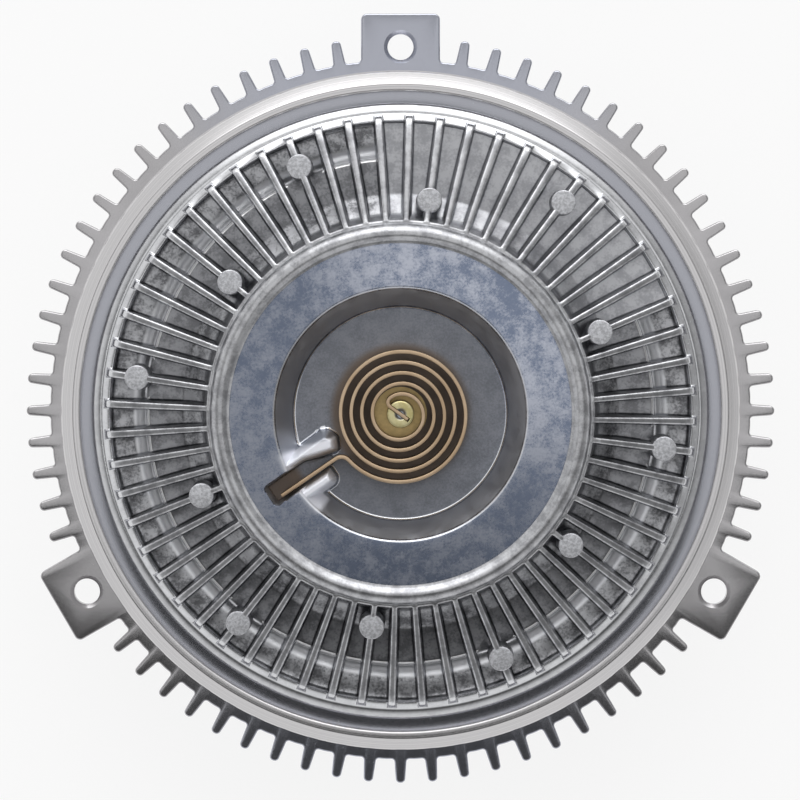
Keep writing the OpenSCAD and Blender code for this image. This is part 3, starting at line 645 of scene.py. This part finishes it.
# %% [markdown]
# Thirty-six low fins on the rear wall pump cooling air.  One fin is an outline in the plane of the
# axis, thickened and softened with a bevel; the ring tree repeats it.

# %% Rear fins
REAR_FINS, REAR_FIN_H, REAR_FIN_T = 36, 9.0, 2.4


def plate(name, outline, thickness, edge):
    """An (r, z) outline in the XZ plane, given a thickness along Y and softened edges."""
    half = thickness / 2
    made = between(name, [(x, -half, z) for x, z in outline], [(x, half, z) for x, z in outline])
    work = bmesh.new()
    work.from_mesh(made.data)
    bmesh.ops.bevel(work, geom=work.edges[:], offset=edge * MM, segments=2, affect="EDGES", profile=0.6)
    work.to_mesh(made.data)
    work.free()
    return shaded(made, 40)


rear_fin = plate("rear_fin", [(BOSS_R - 1.5, Z_WALL + 1), (BOSS_R - 1.5, Z_WALL - REAR_FIN_H),
                              (BOSS_R + 8, Z_WALL - REAR_FIN_H), (DRUM_R - 5, Z_WALL - REAR_FIN_H * 0.45),
                              (DRUM_R - 3.4, Z_WALL + 1)], REAR_FIN_T, 0.5)
rear_fins = ring(rear_fin, REAR_FINS, 0, 360 / REAR_FINS, HOUSING_CAST)
for piece in (drum, flange):
    piece.data.materials.append(HOUSING_CAST)
housing = joined("housing_casting", [drum, flange, rear_fins])
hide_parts("rear_housing")
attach(housing, "housing")
print("housing casting:", len(housing.data.polygons), "faces")

# %% [markdown]
# ## The finned cover
# The cover is the clutch's face: sixty cooling fins run in from a raised ring and climb to the
# collar that holds the cap.  Each fin with half a pocket on either side repeats every six degrees,
# so one such wedge is modelled as a grid and the ring tree does the rest.  Going outwards, every
# station of the grid has a floor level and a crest level; across, the section goes from the middle of
# the crest, round its edge, down the drafted side and through a fillet to the middle of the pocket.

# %% Floor and crest of the cover
FIN_W, FIN_DRAFT = 1.4, math.tan(math.radians(1.5))
CREST_EDGE, ROOT_FILLET = 0.5, 0.45
Z_FLOOR, Z_GROOVE, Z_PLATEAU, Z_CREST_IN, Z_CAP = 46.0, 44.2, 46.8, 62.2, 64.4
STEP_R, CREST_IN_R = 64.2, 48.0
ROLL_R = 6.0
ROLL_TURN = math.acos(1 - (Z_FLOOR - Z_GROOVE) / ROLL_R)
ROLL_START = STEP_R + 0.5 + ROLL_R * math.sin(ROLL_TURN)

# (radius, floor level) from the clamped edge in to the lip over the cap
edge_line = [(83.38, 46.5), (80.0, 46.5), (77.9, 46.5), (77.67, 46.6), (77.6, 46.9)]
ring_line = [(77.58, 47.9), (77.42, 48.25), (77.0, 48.5), (76.3, 48.87), (75.75, 49.1), (75.45, 49.16),
             (75.2, 49.18), (75.0, 49.28), (74.75, 49.44), (74.55, 49.56), (74.25, 49.75), (73.85, 50.0),
             (73.45, 50.18), (73.28, 50.2), (73.14, 50.1), (73.05, 49.8), (72.85, 47.0), (72.7, 46.45),
             (72.4, 46.12), (71.9, Z_FLOOR), (71.3, Z_FLOOR), (70.4, Z_FLOOR)]
roll_line = [(ROLL_START - ROLL_R * math.sin(t), Z_FLOOR - ROLL_R * (1 - math.cos(t)))
             for t in np.linspace(0, ROLL_TURN * 0.94, 7)]
step_line = [(64.6, 44.25), (64.35, Z_GROOVE), (64.1, 44.4), (64.02, 45.9), (63.9, 46.35), (63.65, 46.62),
             (63.3, 46.77), (62.8, Z_PLATEAU), (55.4, Z_PLATEAU), (54.95, 46.88)]
cone_line = [(54.4, 47.14), (53.0, 48.31), (51.5, 49.57), (50.25, 50.62), (49.8, 51.1), (49.52, 51.7)]
collar_line = [(49.38, 52.6), (48.9, 57.0), (48.4, 61.2), (48.28, 61.75), (48.05, 62.08), (47.75, 62.17),
               (47.5, 62.2), (47.36, 62.35), (47.3, 63.2)]
lip_line = [(47.05, 64.1), (46.55, 64.85), (45.9, 65.35), (45.2, 65.58), (44.7, 65.6), (44.25, 65.5),
            (43.75, 65.15), (43.3, 64.65), (43.1, 64.5), (42.6, 64.45), (42.5, 64.42)]
floor_line = edge_line + ring_line + roll_line + step_line + cone_line + collar_line + lip_line
# (radius, crest level) where a fin stands over that floor
crest_line = [(74.75, 49.44), (74.55, 50.6), (74.25, 51.5), (73.85, 52.2), (73.45, 52.65), (72.85, 53.1),
              (72.4, 53.4), (71.3, 53.95), (CREST_IN_R, Z_CREST_IN)]
# back along the underside
under_line = [(42.7, 64.42), (44.32, 64.42), (44.32, 63.2), (43.4, 63.2), (43.4, 61.8), (41.4, 61.8),
              (41.4, 63.2), (40.5, 63.2), (40.5, 44.2), (46.1, 44.2), (46.1, 41.8), (83.38, 41.8)]
print(len(floor_line), "stations on the floor,", len(under_line), "underneath")


def crest_level(radius, floor):
    rs, zs = zip(*sorted(crest_line))
    inside = CREST_IN_R <= radius <= crest_line[0][0]
    return max(floor, float(np.interp(radius, rs, zs))) if inside else floor


# %% One wedge of the cover


def across(radius, floor, crest):
    """(sideways, level) from the middle of the crest to the middle of the pocket."""
    rise = crest - floor
    edge, fillet = min(CREST_EDGE, 0.45 * rise), min(ROOT_FILLET, 0.45 * rise)
    half = FIN_W / 2 + (Z_CREST_IN - min(crest, Z_CREST_IN)) * FIN_DRAFT
    foot = half + 0.05 + max(rise - CREST_EDGE - ROOT_FILLET, 0) * FIN_DRAFT
    made = [(0.0, crest)]
    for t in np.radians([0, 30, 60, 90]):
        made.append((half - CREST_EDGE * (1 - math.sin(t)), crest - edge * (1 - math.cos(t))))
    for t in np.radians([0, 30, 60, 90]):
        made.append((foot + ROOT_FILLET * (1 - math.cos(t)), floor + fillet * (1 - math.sin(t))))
    return made + [(radius * math.sin(math.pi / FINS), floor)]


def wedge_row(radius, before, after):
    """Points of one station on the circle of that radius, with a section on each side of the fin."""
    whole = [(-s, z) for s, z in before[:0:-1]] + after
    return [(math.sqrt(radius ** 2 - s ** 2), s, z) for s, z in whole]


def wedge(before, after):
    """A fin with half a pocket on either side, each with its own floor."""
    rows = []
    for (radius, low), (_, high) in zip(before, after):
        crest = crest_level(radius, max(low, high))
        rows.append(wedge_row(radius, across(radius, low, crest), across(radius, high, crest)))
    for radius, level in under_line:
        rows.append(wedge_row(radius, across(radius, level, level), across(radius, level, level)))
    return solid("wedge", *loop_band(rows, False))


# %% [markdown]
# Twelve pockets on the upper right have no groove: their floor runs level from the ring to the cone.
# The two fins at the ends of that stretch have a grooved pocket on one side and a plain one on the
# other, so four kinds of wedge make the whole ring.

# %% Grooved and plain wedges
PLAIN_FIRST, PLAIN_POCKETS, PITCH = 3, 12, 360 / FINS
PLAIN_LAST = PLAIN_FIRST + PLAIN_POCKETS
plain_line = [(r, max(z, Z_PLATEAU) if STEP_R - 1 < r < 73 else z) for r, z in floor_line]
kinds = [(floor_line, floor_line, PLAIN_LAST + 1, FINS - PLAIN_POCKETS - 1),
         (plain_line, plain_line, PLAIN_FIRST + 1, PLAIN_POCKETS - 1),
         (floor_line, plain_line, PLAIN_FIRST, 1), (plain_line, floor_line, PLAIN_LAST, 1)]
wedges = [ring(wedge(before, after), copies, FIN_START + first * PITCH, PITCH, COVER_CAST)
          for before, after, first, copies in kinds]
cover_body = joined("cover_body", wedges, 40, WELD)
print("cover body:", len(cover_body.data.polygons), "faces")

# %% [markdown]
# The groove bends inward past the outer posts.  Each bend is a bite out of the inner floor on both sides
# of a fin: its plan is part of a circle round the post, and the ring tree sets five pairs of bites.

# %% Bends of the groove
POST_OUT_R, BEND_CLEAR, FIN_FOOT = 66.5, 5.7, 1.2
bites = []
for side in (-1, 1):
    turn = np.linspace(180 - math.degrees(math.asin(FIN_FOOT / BEND_CLEAR)), 115, 14)
    plan = [(POST_OUT_R + x, side * y) for x, y in (ray(BEND_CLEAR, t) for t in turn)]
    plan = [(STEP_R + 0.2, side * FIN_FOOT)] + plan + [(STEP_R + 0.2, plan[-1][1])]
    bites.append(prism("bite", plan, Z_GROOVE + 0.2, Z_PLATEAU + 1))
bites = ring(joined("bites", bites), 5, FIN_START + 18 * PITCH, 60, COVER_CAST)
cut(cover_body, bites)
print("cover body with bends:", len(cover_body.data.polygons), "faces")

# %% [markdown]
# Underneath, four round lands mesh with the rotor's, and the oil between them carries the drive.  Three
# blind holes take the separator's screws.

# %% Lands and screw holes
LAND_R, LAND_W, LAND_PITCH, Z_LAND = 71.3, 1.6, 4.4, 36.8
SCREW_R, SCREW_HOLE_R, Z_SCREW = 43.25, 1.27, (43.2, 50.2)
lands = []
for outer in [LAND_R - k * LAND_PITCH for k in range(4)]:
    inner = outer - LAND_W
    lands.append(turned("land", [(inner, Z_LAND), (outer, Z_LAND), (outer, Z_ROOF + 0.5),
                                 (inner, Z_ROOF + 0.5)], 144))
    lands[-1].data.materials.append(COVER_CAST)
hole = prism("screw_hole", [(SCREW_R + x, y) for x, y in arc(SCREW_HOLE_R, 0, 345, 24)], *Z_SCREW)
cut(cover_body, ring(hole, 3, 30, 120, COVER_CAST))
print("cover body with", len(lands), "lands")

# %% [markdown]
# Twelve round posts, where the die's ejector pins pushed, stand on every fifth fin, near the collar
# and near the ring by turns.  Each is a short turned pad with a soft edge, a little above the crest.

# %% Ejector posts
POSTS, POST_R, POST_RISE = 12, 3.1, 0.9
posts = []
for first, radius in ((3, 53.6), (8, POST_OUT_R)):
    top = float(np.interp(radius, *zip(*sorted(crest_line)))) + POST_RISE
    pad = turned("post", rounded([(0.0, Z_ROOF + 1), (POST_R + 0.25, Z_ROOF + 1), (POST_R, top),
                                  (0.0, top)], [0, 0, 0.35, 0], 5), 48)
    for point in pad.data.vertices:
        point.co.x += radius * MM
    posts.append(ring(pad, POSTS // 2, FIN_START + first * PITCH, 720 / POSTS, POST_CAST))
cover = joined("cover_casting", [cover_body] + lands + posts, 40)
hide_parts("front_cover")
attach(cover, "housing")
print("cover casting:", len(cover.data.polygons), "faces")

# %% [markdown]
# ## The pressed reservoir cap
# The cap is zinc-plated sheet, pressed into a dish for the coil, with a narrow slot between two
# horns that grips the coil's outer leg.  A pressing is a height over the plan, so the cap is a polar
# grid whose height comes from distances: the radius gives the dish, and the distance from the slot's
# and the horns' outlines gives their rounded walls.  The grid is fine only round the slot.

# %% Heights of the cap
CAP_R, CAP_T, BUSH_R = 44.3, 1.2, 5.42
MOUTH_R, DISH_R, Z_DISH = 31.5, 26.5, 55.4
SLOT_TURN, SLOT_HALF, SLOT_END, SLOT_OFFSET = 214.5, 2.45, 38.0, -1.4
HORN_TOP = Z_CAP - Z_DISH - 0.8
slot_outline = rounded([(20.0, SLOT_HALF), (20.0, 0.0), (26.5, -SLOT_HALF), (SLOT_END, -SLOT_HALF),
                        (SLOT_END, SLOT_HALF)], [0, 0, 1.5, 0.7, 0.7], 5)
upper_horn = rounded([(18.2, 0.0), (26.5, -2.4), (35.0, -2.4), (35.0, -5.4), (18.0, -5.9), (16.6, -3.0)],
                     [0.8, 2.0, 0, 0, 2.2, 1.8], 5)
lower_horn = rounded([(22.4, 2.45), (35.0, 2.45), (35.0, 6.6), (22.4, 6.4)], [0.5, 0, 0, 1.5], 5)


def soft(value, width):
    """The positive part of a value, rounded near zero."""
    return np.where(value > width, value, np.where(value < -width, 0, (value + width) ** 2 / (4 * width)))


def soft_top(first, second, width):
    return second + soft(first - second, width)


def distance(x, y, outline):
    """Distance from a closed outline, negative inside it."""
    nearest, inside = np.full(x.shape, 1e9), np.zeros(x.shape, bool)
    for (ax, ay), (bx, by) in zip(outline, outline[1:] + outline[:1]):
        ex, ey, wx, wy = bx - ax, by - ay, x - ax, y - ay
        t = np.clip((wx * ex + wy * ey) / (ex * ex + ey * ey), 0, 1)
        nearest = np.minimum(nearest, np.hypot(wx - t * ex, wy - t * ey))
        inside ^= ((ay > y) != (by > y)) & (wx < ex * wy / (ey if ey else 1e-9))
    return np.where(inside, -nearest, nearest)


def climb(d, low, high, width):
    """0 before low, 1 after high, straight between with rounded ends."""
    return (soft(d - low, width) - soft(d - high, width)) / (high - low)


def cap_height(radius, angle, wider=0.0):
    """Level of the cap's upper face; wider opens the slot, for the underside."""
    turn = np.radians(angle - SLOT_TURN)
    u, v = radius * np.cos(turn), radius * np.sin(turn) - SLOT_OFFSET
    level = (Z_CAP - Z_DISH) * climb(radius, DISH_R, MOUTH_R, 0.45) - 0.03 * soft(radius - 33, 1)
    if not wider:
        for outline in (upper_horn, lower_horn):
            level = soft_top(HORN_TOP * climb(-distance(u, v, outline), -0.7, 1.1, 0.5), level, 0.5)
    wall = 12 * climb(distance(u, v, slot_outline) - wider, -0.1, 0.7, 0.3)
    return Z_DISH + level - soft(level - wall, 0.6)


Z_DISH_SEEN = float(cap_height(20.0, 30.0))
print("horns stand", round(HORN_TOP, 2), "mm over the dish floor at", round(Z_DISH_SEEN, 2))

# %% The cap's grid
fine = np.arange(SLOT_TURN - 22, SLOT_TURN + 22.01, 0.25)
coarse = np.arange(SLOT_TURN + 22 + 2.4, SLOT_TURN + 338 - 1.0, 2.4)
angles = np.concatenate([fine, coarse])
top_radii = np.concatenate([[BUSH_R, 8, 11, 14], np.arange(16, 39.21, 0.2), [40, 41.5, 43, 44.0, CAP_R]])
low_radii = [CAP_R, 42, 39.6, 38.6, 37.0, 34, 32.5, 31.5, 30.5, 29, 27.5, 26.5, 25.5, 23, BUSH_R]


def cap_row(radius, drop, wider):
    level = cap_height(np.full(len(angles), radius), angles, wider) - drop
    turn = np.radians(angles)
    return np.stack([radius * np.cos(turn), radius * np.sin(turn), level], 1)


cap_rows = [cap_row(r, 0, 0) for r in top_radii] + [cap_row(r, CAP_T, 0.9) for r in low_radii]
cap = solid("cap_pressing", *loop_band(cap_rows), 50)
print("cap pressing:", len(cap.data.polygons), "faces")

# %% [markdown]
# The plating has a bluish, clouded shine on the flat rim, with a painted shade away from the upper right.
# The dish floor was struck against a rough die, so it is duller and mottled, and stained brown round the
# coil.  The pressed corners, most in the lower half, and the horns carry painted highlights.  The radius
# and the height tell these apart.

# %% Zinc-plated sheet
HORN_LEVEL, HORN_REACH, MOUTH_REACH, CLEAN_DISH = (57, 58), (30, 33), (32.6, 33), (18.5, 28.0)


def paint_zinc(graph):
    where, radius, height = place(graph)
    fleck = noise(graph, where, 1800.0, 3.0, 0.7)
    blotch = noise(graph, where, 260.0, 3.0, 0.6)
    cloud = noise(graph, where, 42.0, 4.0, 0.6)
    floor = 1 - height.step(Z_DISH_SEEN + 0.01, Z_DISH_SEEN + 0.03)
    # Painted highlights: a bright line at the dish's floor corner and along its mouth, strongest in the
    # lower half.
    corner = height.band(Z_DISH_SEEN + 0.03, Z_DISH_SEEN + 0.5, 0.02)
    mouth = height.band(Z_CAP - 0.40, Z_CAP - 0.08, 0.06) * (1 - radius.step(*MOUTH_REACH))
    lower = 1 - 0.9 * facing(graph, where, radius, 80).step(-0.3, 0.4)
    edge = lower * corner + (0.4 + 0.2 * lower) * mouth
    wall = height.band(Z_DISH + 1.2, Z_CAP - 1.0, 0.5)
    patch = (0.35 * cloud + 0.35 * blotch + 0.3 * fleck).step(0.41, 0.59)
    base = graph.mix(patch, grey(0.24, -0.16, 0.38), grey(0.57, -0.05, 0.15))
    # Painted shade: the flat rim is darker away from the upper right.
    shade_off_upper_right = 0.5 - 0.5 * facing(graph, where, radius, 50).step(0.0, 0.9)
    base = graph.mix(shade_off_upper_right, base, grey(0.10, -0.15, 0.35))
    base = graph.mix(0.9 * wall, base, grey(0.62, -0.03, 0.08))
    base = graph.mix(edge, base, grey(0.92, -0.02, 0.04))
    # Painted highlight on the tops of the horns.
    horn_highlight = facing(graph, where, radius, SLOT_TURN).step(0.955, 0.97)
    horn_highlight = horn_highlight * height.step(*HORN_LEVEL) * (1 - radius.step(*HORN_REACH))
    base = graph.mix(horn_highlight, base, grey(0.95, -0.01, 0.05))
    spots = (0.5 * fleck + 0.5 * blotch).step(0.35, 0.65)
    struck = graph.mix(spots, grey(0.20, -0.05, 0.13), grey(0.32, -0.04, 0.12))
    stain = 1 - radius.band(*CLEAN_DISH, 2.5)
    struck = graph.mix(0.8 * stain, struck, (0.20, 0.15, 0.11, 1))
    rough = 0.24 + 0.12 * patch + 0.22 * floor + 0.12 * wall + 0.28 * horn_highlight - 0.1 * corner
    return {"Base Color": graph.mix(floor, base, struck), "Metallic": 0.95, "Roughness": rough,
            "Normal": bump(graph, fleck * (0.4 + floor), 0.25, 0.05)}


ZINC = material("zinc-plated sheet", paint_zinc)
cap.data.materials.append(ZINC)
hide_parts("reservoir_cap")
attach(cap, "housing")
print("cap in place")

# %% [markdown]
# ## The bimetal coil
# Two metals rolled into one strip, wound to a flat spiral: heat makes it curl, and its inner end,
# bent into the spindle's slot, turns the valve.  A path that follows a rule suits Geometry Nodes: the
# tree sweeps a rectangle with soft corners along the path, its normals kept level.

# %% The strip's path
STRIP_T, STRIP_LOW, STRIP_HIGH = 0.9, 56.7, 62.8
COIL_OUT, COIL_IN, COIL_TURNS = 17.2, 4.79, 4.72
TANG, HOOK_R, BEND_R, LEG = 2.2, 1.35, 2.6, 16.2
TANG_POINTS, HOOK_POINTS, BEND_POINTS, LEG_POINTS = 3, 10, 10, 2
LEAVE = SLOT_TURN + math.degrees(math.asin(BEND_R / (COIL_OUT + BEND_R)))
INNER_TURN = LEAVE + 360 * COIL_TURNS
TANG_TURN = INNER_TURN + math.degrees(math.asin(HOOK_R / (COIL_IN - HOOK_R)))


def bow(centre, radius, start, end, steps):
    return arc(radius, start, end, steps) + np.asarray(centre)


def strip_path():
    """Plan points from the tang in the spindle to the end of the leg."""
    t = np.linspace(0, 1, 420)
    turn = np.radians(INNER_TURN - 360 * COIL_TURNS * t)
    spiral = (COIL_IN + (COIL_OUT - COIL_IN) * t)[:, None] * np.stack([np.cos(turn), np.sin(turn)], 1)
    hook = bow(ray(COIL_IN - HOOK_R, INNER_TURN), HOOK_R, TANG_TURN + 90, INNER_TURN + 10, HOOK_POINTS)
    bend_centre, bend_end = ray(COIL_OUT + BEND_R, LEAVE), SLOT_TURN + 270
    bend = bow(bend_centre, BEND_R, LEAVE + 188, bend_end, BEND_POINTS)
    leg = [bend[-1] + ray(LEG * k / LEG_POINTS, SLOT_TURN) for k in range(1, LEG_POINTS + 1)]
    tang = [ray(reach, TANG_TURN) for reach in (-TANG, 0.4, 1.9)]
    return np.concatenate([tang, hook, spiral, bend, leg])


path = strip_path()
length = np.linalg.norm(np.diff(path, axis=0), axis=1).sum()
print("strip is", round(float(length)), "mm long,", len(path), "points")

# %% The strip swept along its path


def strip_tree():
    graph, wire = begin_tree("swept strip", (("Thickness", "Float"), ("Width", "Float"),
                                             ("Edge radius", "Float")))
    curve = graph.node("GeometryNodeMeshToCurve", None, {0: wire["Geometry"]})
    level = graph.node("GeometryNodeSetCurveNormal", {"mode": "Z_UP"}, {0: curve})
    box = graph.node("GeometryNodeCurvePrimitiveQuadrilateral", None,
                     {"Width": wire["Thickness"], "Height": wire["Width"]})
    profile = graph.node("GeometryNodeFilletCurve", {"mode": "POLY"},
                         {"Curve": box, "Radius": wire["Edge radius"], "Count": 3})
    swept = graph.node("GeometryNodeCurveToMesh", None,
                       {"Curve": level, "Profile Curve": profile, "Fill Caps": True})
    real = graph.node("GeometryNodeRealizeInstances", None, {"Geometry": swept})
    return end_tree(graph, real, wire["Material"])


def paint_bimetal(graph):
    where, _, height = place(graph)
    grain = noise(graph, where, 700.0, 3.0)
    stain = noise(graph, where, 70.0, 3.0)
    edge = height.step(STRIP_HIGH - 0.16, STRIP_HIGH - 0.04)
    side = graph.mix(stain.step(0.35, 0.65), (0.30, 0.20, 0.10, 1), (0.44, 0.30, 0.16, 1))
    bright = graph.mix(stain.step(0.3, 0.7), (0.50, 0.36, 0.23, 1), (0.64, 0.49, 0.34, 1))
    return {"Base Color": graph.mix(edge, side, bright), "Metallic": 0.85,
            "Roughness": 0.30 + 0.15 * grain - 0.06 * edge, "Normal": bump(graph, grain, 0.12, 0.04)}


BIMETAL = material("rolled bimetal", paint_bimetal)
middle = (STRIP_LOW + STRIP_HIGH) / 2
thread = bpy.data.meshes.new("coil_strip")
thread.from_pydata([(x * MM, y * MM, middle * MM) for x, y in path],
                   [(i, i + 1) for i in range(len(path) - 1)], [])
strip = linked("coil_strip", thread)
coil = grown(strip, strip_tree(), {"Thickness": STRIP_T * MM, "Width": (STRIP_HIGH - STRIP_LOW) * MM,
                                   "Edge radius": 0.16 * MM, "Material": BIMETAL}, 40)
print("coil strip:", len(coil.data.polygons), "faces, box", [round(v * 1000, 1) for v in coil.dimensions])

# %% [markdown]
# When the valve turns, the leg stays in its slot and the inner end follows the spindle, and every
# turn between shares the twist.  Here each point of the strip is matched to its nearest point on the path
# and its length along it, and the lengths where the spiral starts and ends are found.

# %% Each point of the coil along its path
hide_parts("bimetal_coil")
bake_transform(coil)
places = np.empty(3 * len(coil.data.vertices))
coil.data.vertices.foreach_get("co", places)
plan = places.reshape(-1, 3)[:, :2] / MM
nearest = np.array([np.argmin(((path - point) ** 2).sum(1)) for point in plan])
along = np.concatenate([[0], np.cumsum(np.linalg.norm(np.diff(path, axis=0), axis=1))])
first, last = along[TANG_POINTS + HOOK_POINTS], along[-BEND_POINTS - LEG_POINTS]

# %% [markdown]
# ## The spindle
# The spindle's head carries the coil's tang in a sawn slot.  It is turned steel with a yellow
# passivated skin, and the lathe left a small centre dimple.

# %% Spindle
Z_LEVER_TOP, Z_COIL, SPINDLE_R, HEAD_R, Z_HEAD = 45.37, 56.2, 3.0, 3.4, 63.1
Z_GROOVE_O, TENON = (52.4, 54.0), 1.8
head = [(0.0, Z_LEVER_TOP, 0), (SPINDLE_R, Z_LEVER_TOP, 0.2), (SPINDLE_R, Z_GROOVE_O[0], 0.1),
        (SPINDLE_R - 1.1, Z_GROOVE_O[0], 0.1), (SPINDLE_R - 1.1, Z_GROOVE_O[1], 0.1),
        (SPINDLE_R, Z_GROOVE_O[1], 0.1), (SPINDLE_R, Z_COIL, 0), (HEAD_R, Z_COIL, 0.2),
        (HEAD_R, Z_HEAD, 0.5), (1.5, Z_HEAD, 0.3), (0.9, Z_HEAD - 0.8, 0.3), (0.0, Z_HEAD - 0.8, 0)]
spindle = turned("valve_spindle", eased(head, 5), 96)
saw = plate("saw", [(-2.6, Z_COIL + 0.4), (8, Z_COIL + 0.4), (8, 70), (-2.6, 70)], STRIP_T + 0.2, 0.02)
saw.rotation_euler.z = math.radians(TANG_TURN)
bpy.context.view_layer.update()
cut(spindle, saw)
tenon = plate("tenon", [(-TENON, 44.55), (TENON, 44.55), (TENON, Z_LEVER_TOP + 0.5),
                        (-TENON, Z_LEVER_TOP + 0.5)], 2 * TENON, 0.1)
spindle = joined("valve_spindle", [spindle, tenon])


def paint_passivated(graph):
    where, radius, _ = place(graph)
    grain = noise(graph, where, 500.0, 3.0)
    # Painted reflection: a bluish spot in the middle of the head.
    centre = 1 - radius.step(1.1, 1.7)
    skin = graph.mix(grain.step(0.3, 0.7), (0.50, 0.44, 0.20, 1), (0.68, 0.62, 0.36, 1))
    return {"Base Color": graph.mix(centre, skin, grey(0.42, -0.1, 0.12)), "Metallic": 0.9,
            "Roughness": 0.26 + 0.12 * grain, "Normal": bump(graph, grain, 0.08, 0.03)}


spindle.data.materials.append(material("yellow passivated steel", paint_passivated))
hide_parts("valve_shaft")
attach(spindle, "valve")
print("spindle:", len(spindle.data.polygons), "faces")

# %% [markdown]
# ## The other pieces
# The hub, the bearing, the rotor and the seals keep their CAD shapes, because turned rings are already
# right.  The record gives each a material slot, and each slot gets a finish of its own.

# %% Finishes of the carried pieces
SLOT_FINISH = {
    "cast_aluminium": HOUSING_CAST, "zinc_sheet": ZINC, "bimetal": BIMETAL,
    "machined_aluminium": plain("machined aluminium", grey(0.66), 0.9, 0.32, 900, 0.12, 0.1),
    "steel": plain("turned steel", grey(0.45, -0.01, 0.02), 0.95, 0.34, 800, 0.2, 0.1),
    "bearing_steel": plain("ground bearing steel", grey(0.58, -0.01, 0.02), 1.0, 0.16, 500, 0.1),
    "spring_steel": plain("blackened spring steel", grey(0.10, -0.02, 0.04), 0.8, 0.42, 600, 0.3, 0.1),
    "cage_brass": plain("cage brass", (0.62, 0.44, 0.18, 1), 0.95, 0.3, 600, 0.2),
    "bush_brass": plain("bush brass", (0.56, 0.42, 0.2, 1), 0.95, 0.36, 600, 0.25),
    "passivated_steel": spindle.data.materials[0],
    "wiper_plastic": plain("wiper plastic", (0.48, 0.38, 0.24, 1), 0.0, 0.5, 400, 0.15),
    "seal_rubber": plain("seal rubber", grey(0.025), 0.0, 0.7, 900, 0.3, 0.15),
}
for subpart in frame["record"]["subparts"]:
    node = frame["nodes"][subpart["node"]]
    if not node.hide_render:
        node.data.materials.clear()
        node.data.materials.append(SLOT_FINISH[subpart["material_slot"]])

# %% [markdown]
# ## Camera, floor and light
# The clutch lies on its back and the camera looks straight down its shaft, a long way off and
# tipped by two degrees.  A light tent surrounds it: dim straight above, brighter round the sides and
# brightest behind, dimmer on the right, so every rounded edge catches a line of light.  A panel overhead
# lights the flat faces; it ends short of the front, where they go dark.

# %% Camera
AIM, REACH, TIP = (-0.00013, 0.00272, 0.0402), 1.0, math.radians(2.1)
SEEN = 0.2032
camera = bpy.data.cameras.new("camera")
camera.sensor_width = 36
camera.lens = 36 * REACH / SEEN
viewer = linked("camera", camera)
viewer.location = (AIM[0], AIM[1] + REACH * math.sin(TIP), AIM[2] + REACH * math.cos(TIP))
viewer.rotation_euler = (-TIP, 0, 0)
bpy.context.scene.camera = viewer
print("lens", round(camera.lens, 1), "mm")

# %% Floor
floor_mesh = bpy.data.meshes.new("floor")
floor_mesh.from_pydata([(-3, -3, 0), (3, -3, 0), (3, 3, 0), (-3, 3, 0)], [], [(0, 1, 2, 3)])
floor = linked("floor", floor_mesh)
floor_paint = bpy.data.materials.new("pale floor")
graph = cleared(floor_paint)
path_of = graph.node("ShaderNodeLightPath").socket.node
seen = [Wire(graph, path_of.outputs[name]) for name in
        ("Is Camera Ray", "Is Glossy Ray", "Is Transmission Ray")]
white = graph.node("ShaderNodeEmission", None, {"Color": (1, 1, 1, 1), "Strength": 1.05})
paper = graph.node("ShaderNodeBsdfDiffuse", None, {"Color": (0.85, 0.85, 0.85, 1)})
shown = graph.node("ShaderNodeMixShader", None,
                   {0: 0.8 * seen[0].math("MAXIMUM", seen[0], seen[1].math("MAXIMUM", seen[1], seen[2])),
                    1: paper, 2: white})
graph.feed(floor_paint.node_tree.nodes.new("ShaderNodeOutputMaterial").inputs[0], shown)
floor_mesh.materials.append(floor_paint)
print("floor ready")

# %% Light tent
world = bpy.data.worlds.new("light tent")
bpy.context.scene.world = world
graph = cleared(world)
side, back, up = graph.split(graph.node("ShaderNodeTexCoord", out="Generated"))
low = 1 - up.step(0.30, 0.95)
behind = back / (side * side + back * back) ** 0.5
lobe = behind.step(0.72, 1.0) * (1 - up.step(0.62, 0.95))
tent = 0.05 + low * (0.8 - 0.5 * side.step(0.5, 1.0)) + 2.0 * lobe
sky = graph.node("ShaderNodeBackground", None, {"Color": (1, 1, 1, 1), "Strength": tent})
graph.feed(world.node_tree.nodes.new("ShaderNodeOutputWorld").inputs[0], sky)

PANEL_SIZE, PANEL_POWER, PANEL_PLACE = (0.56, 0.34), 0.46, (0, 0.074, 0.445)
lamp = bpy.data.lights.new("top_panel", "AREA")
lamp.shape, lamp.energy = "RECTANGLE", PANEL_POWER
lamp.size, lamp.size_y = PANEL_SIZE
linked("top_panel", lamp).location = PANEL_PLACE
bpy.context.scene.view_settings.view_transform = "Standard"
print("light tent ready")
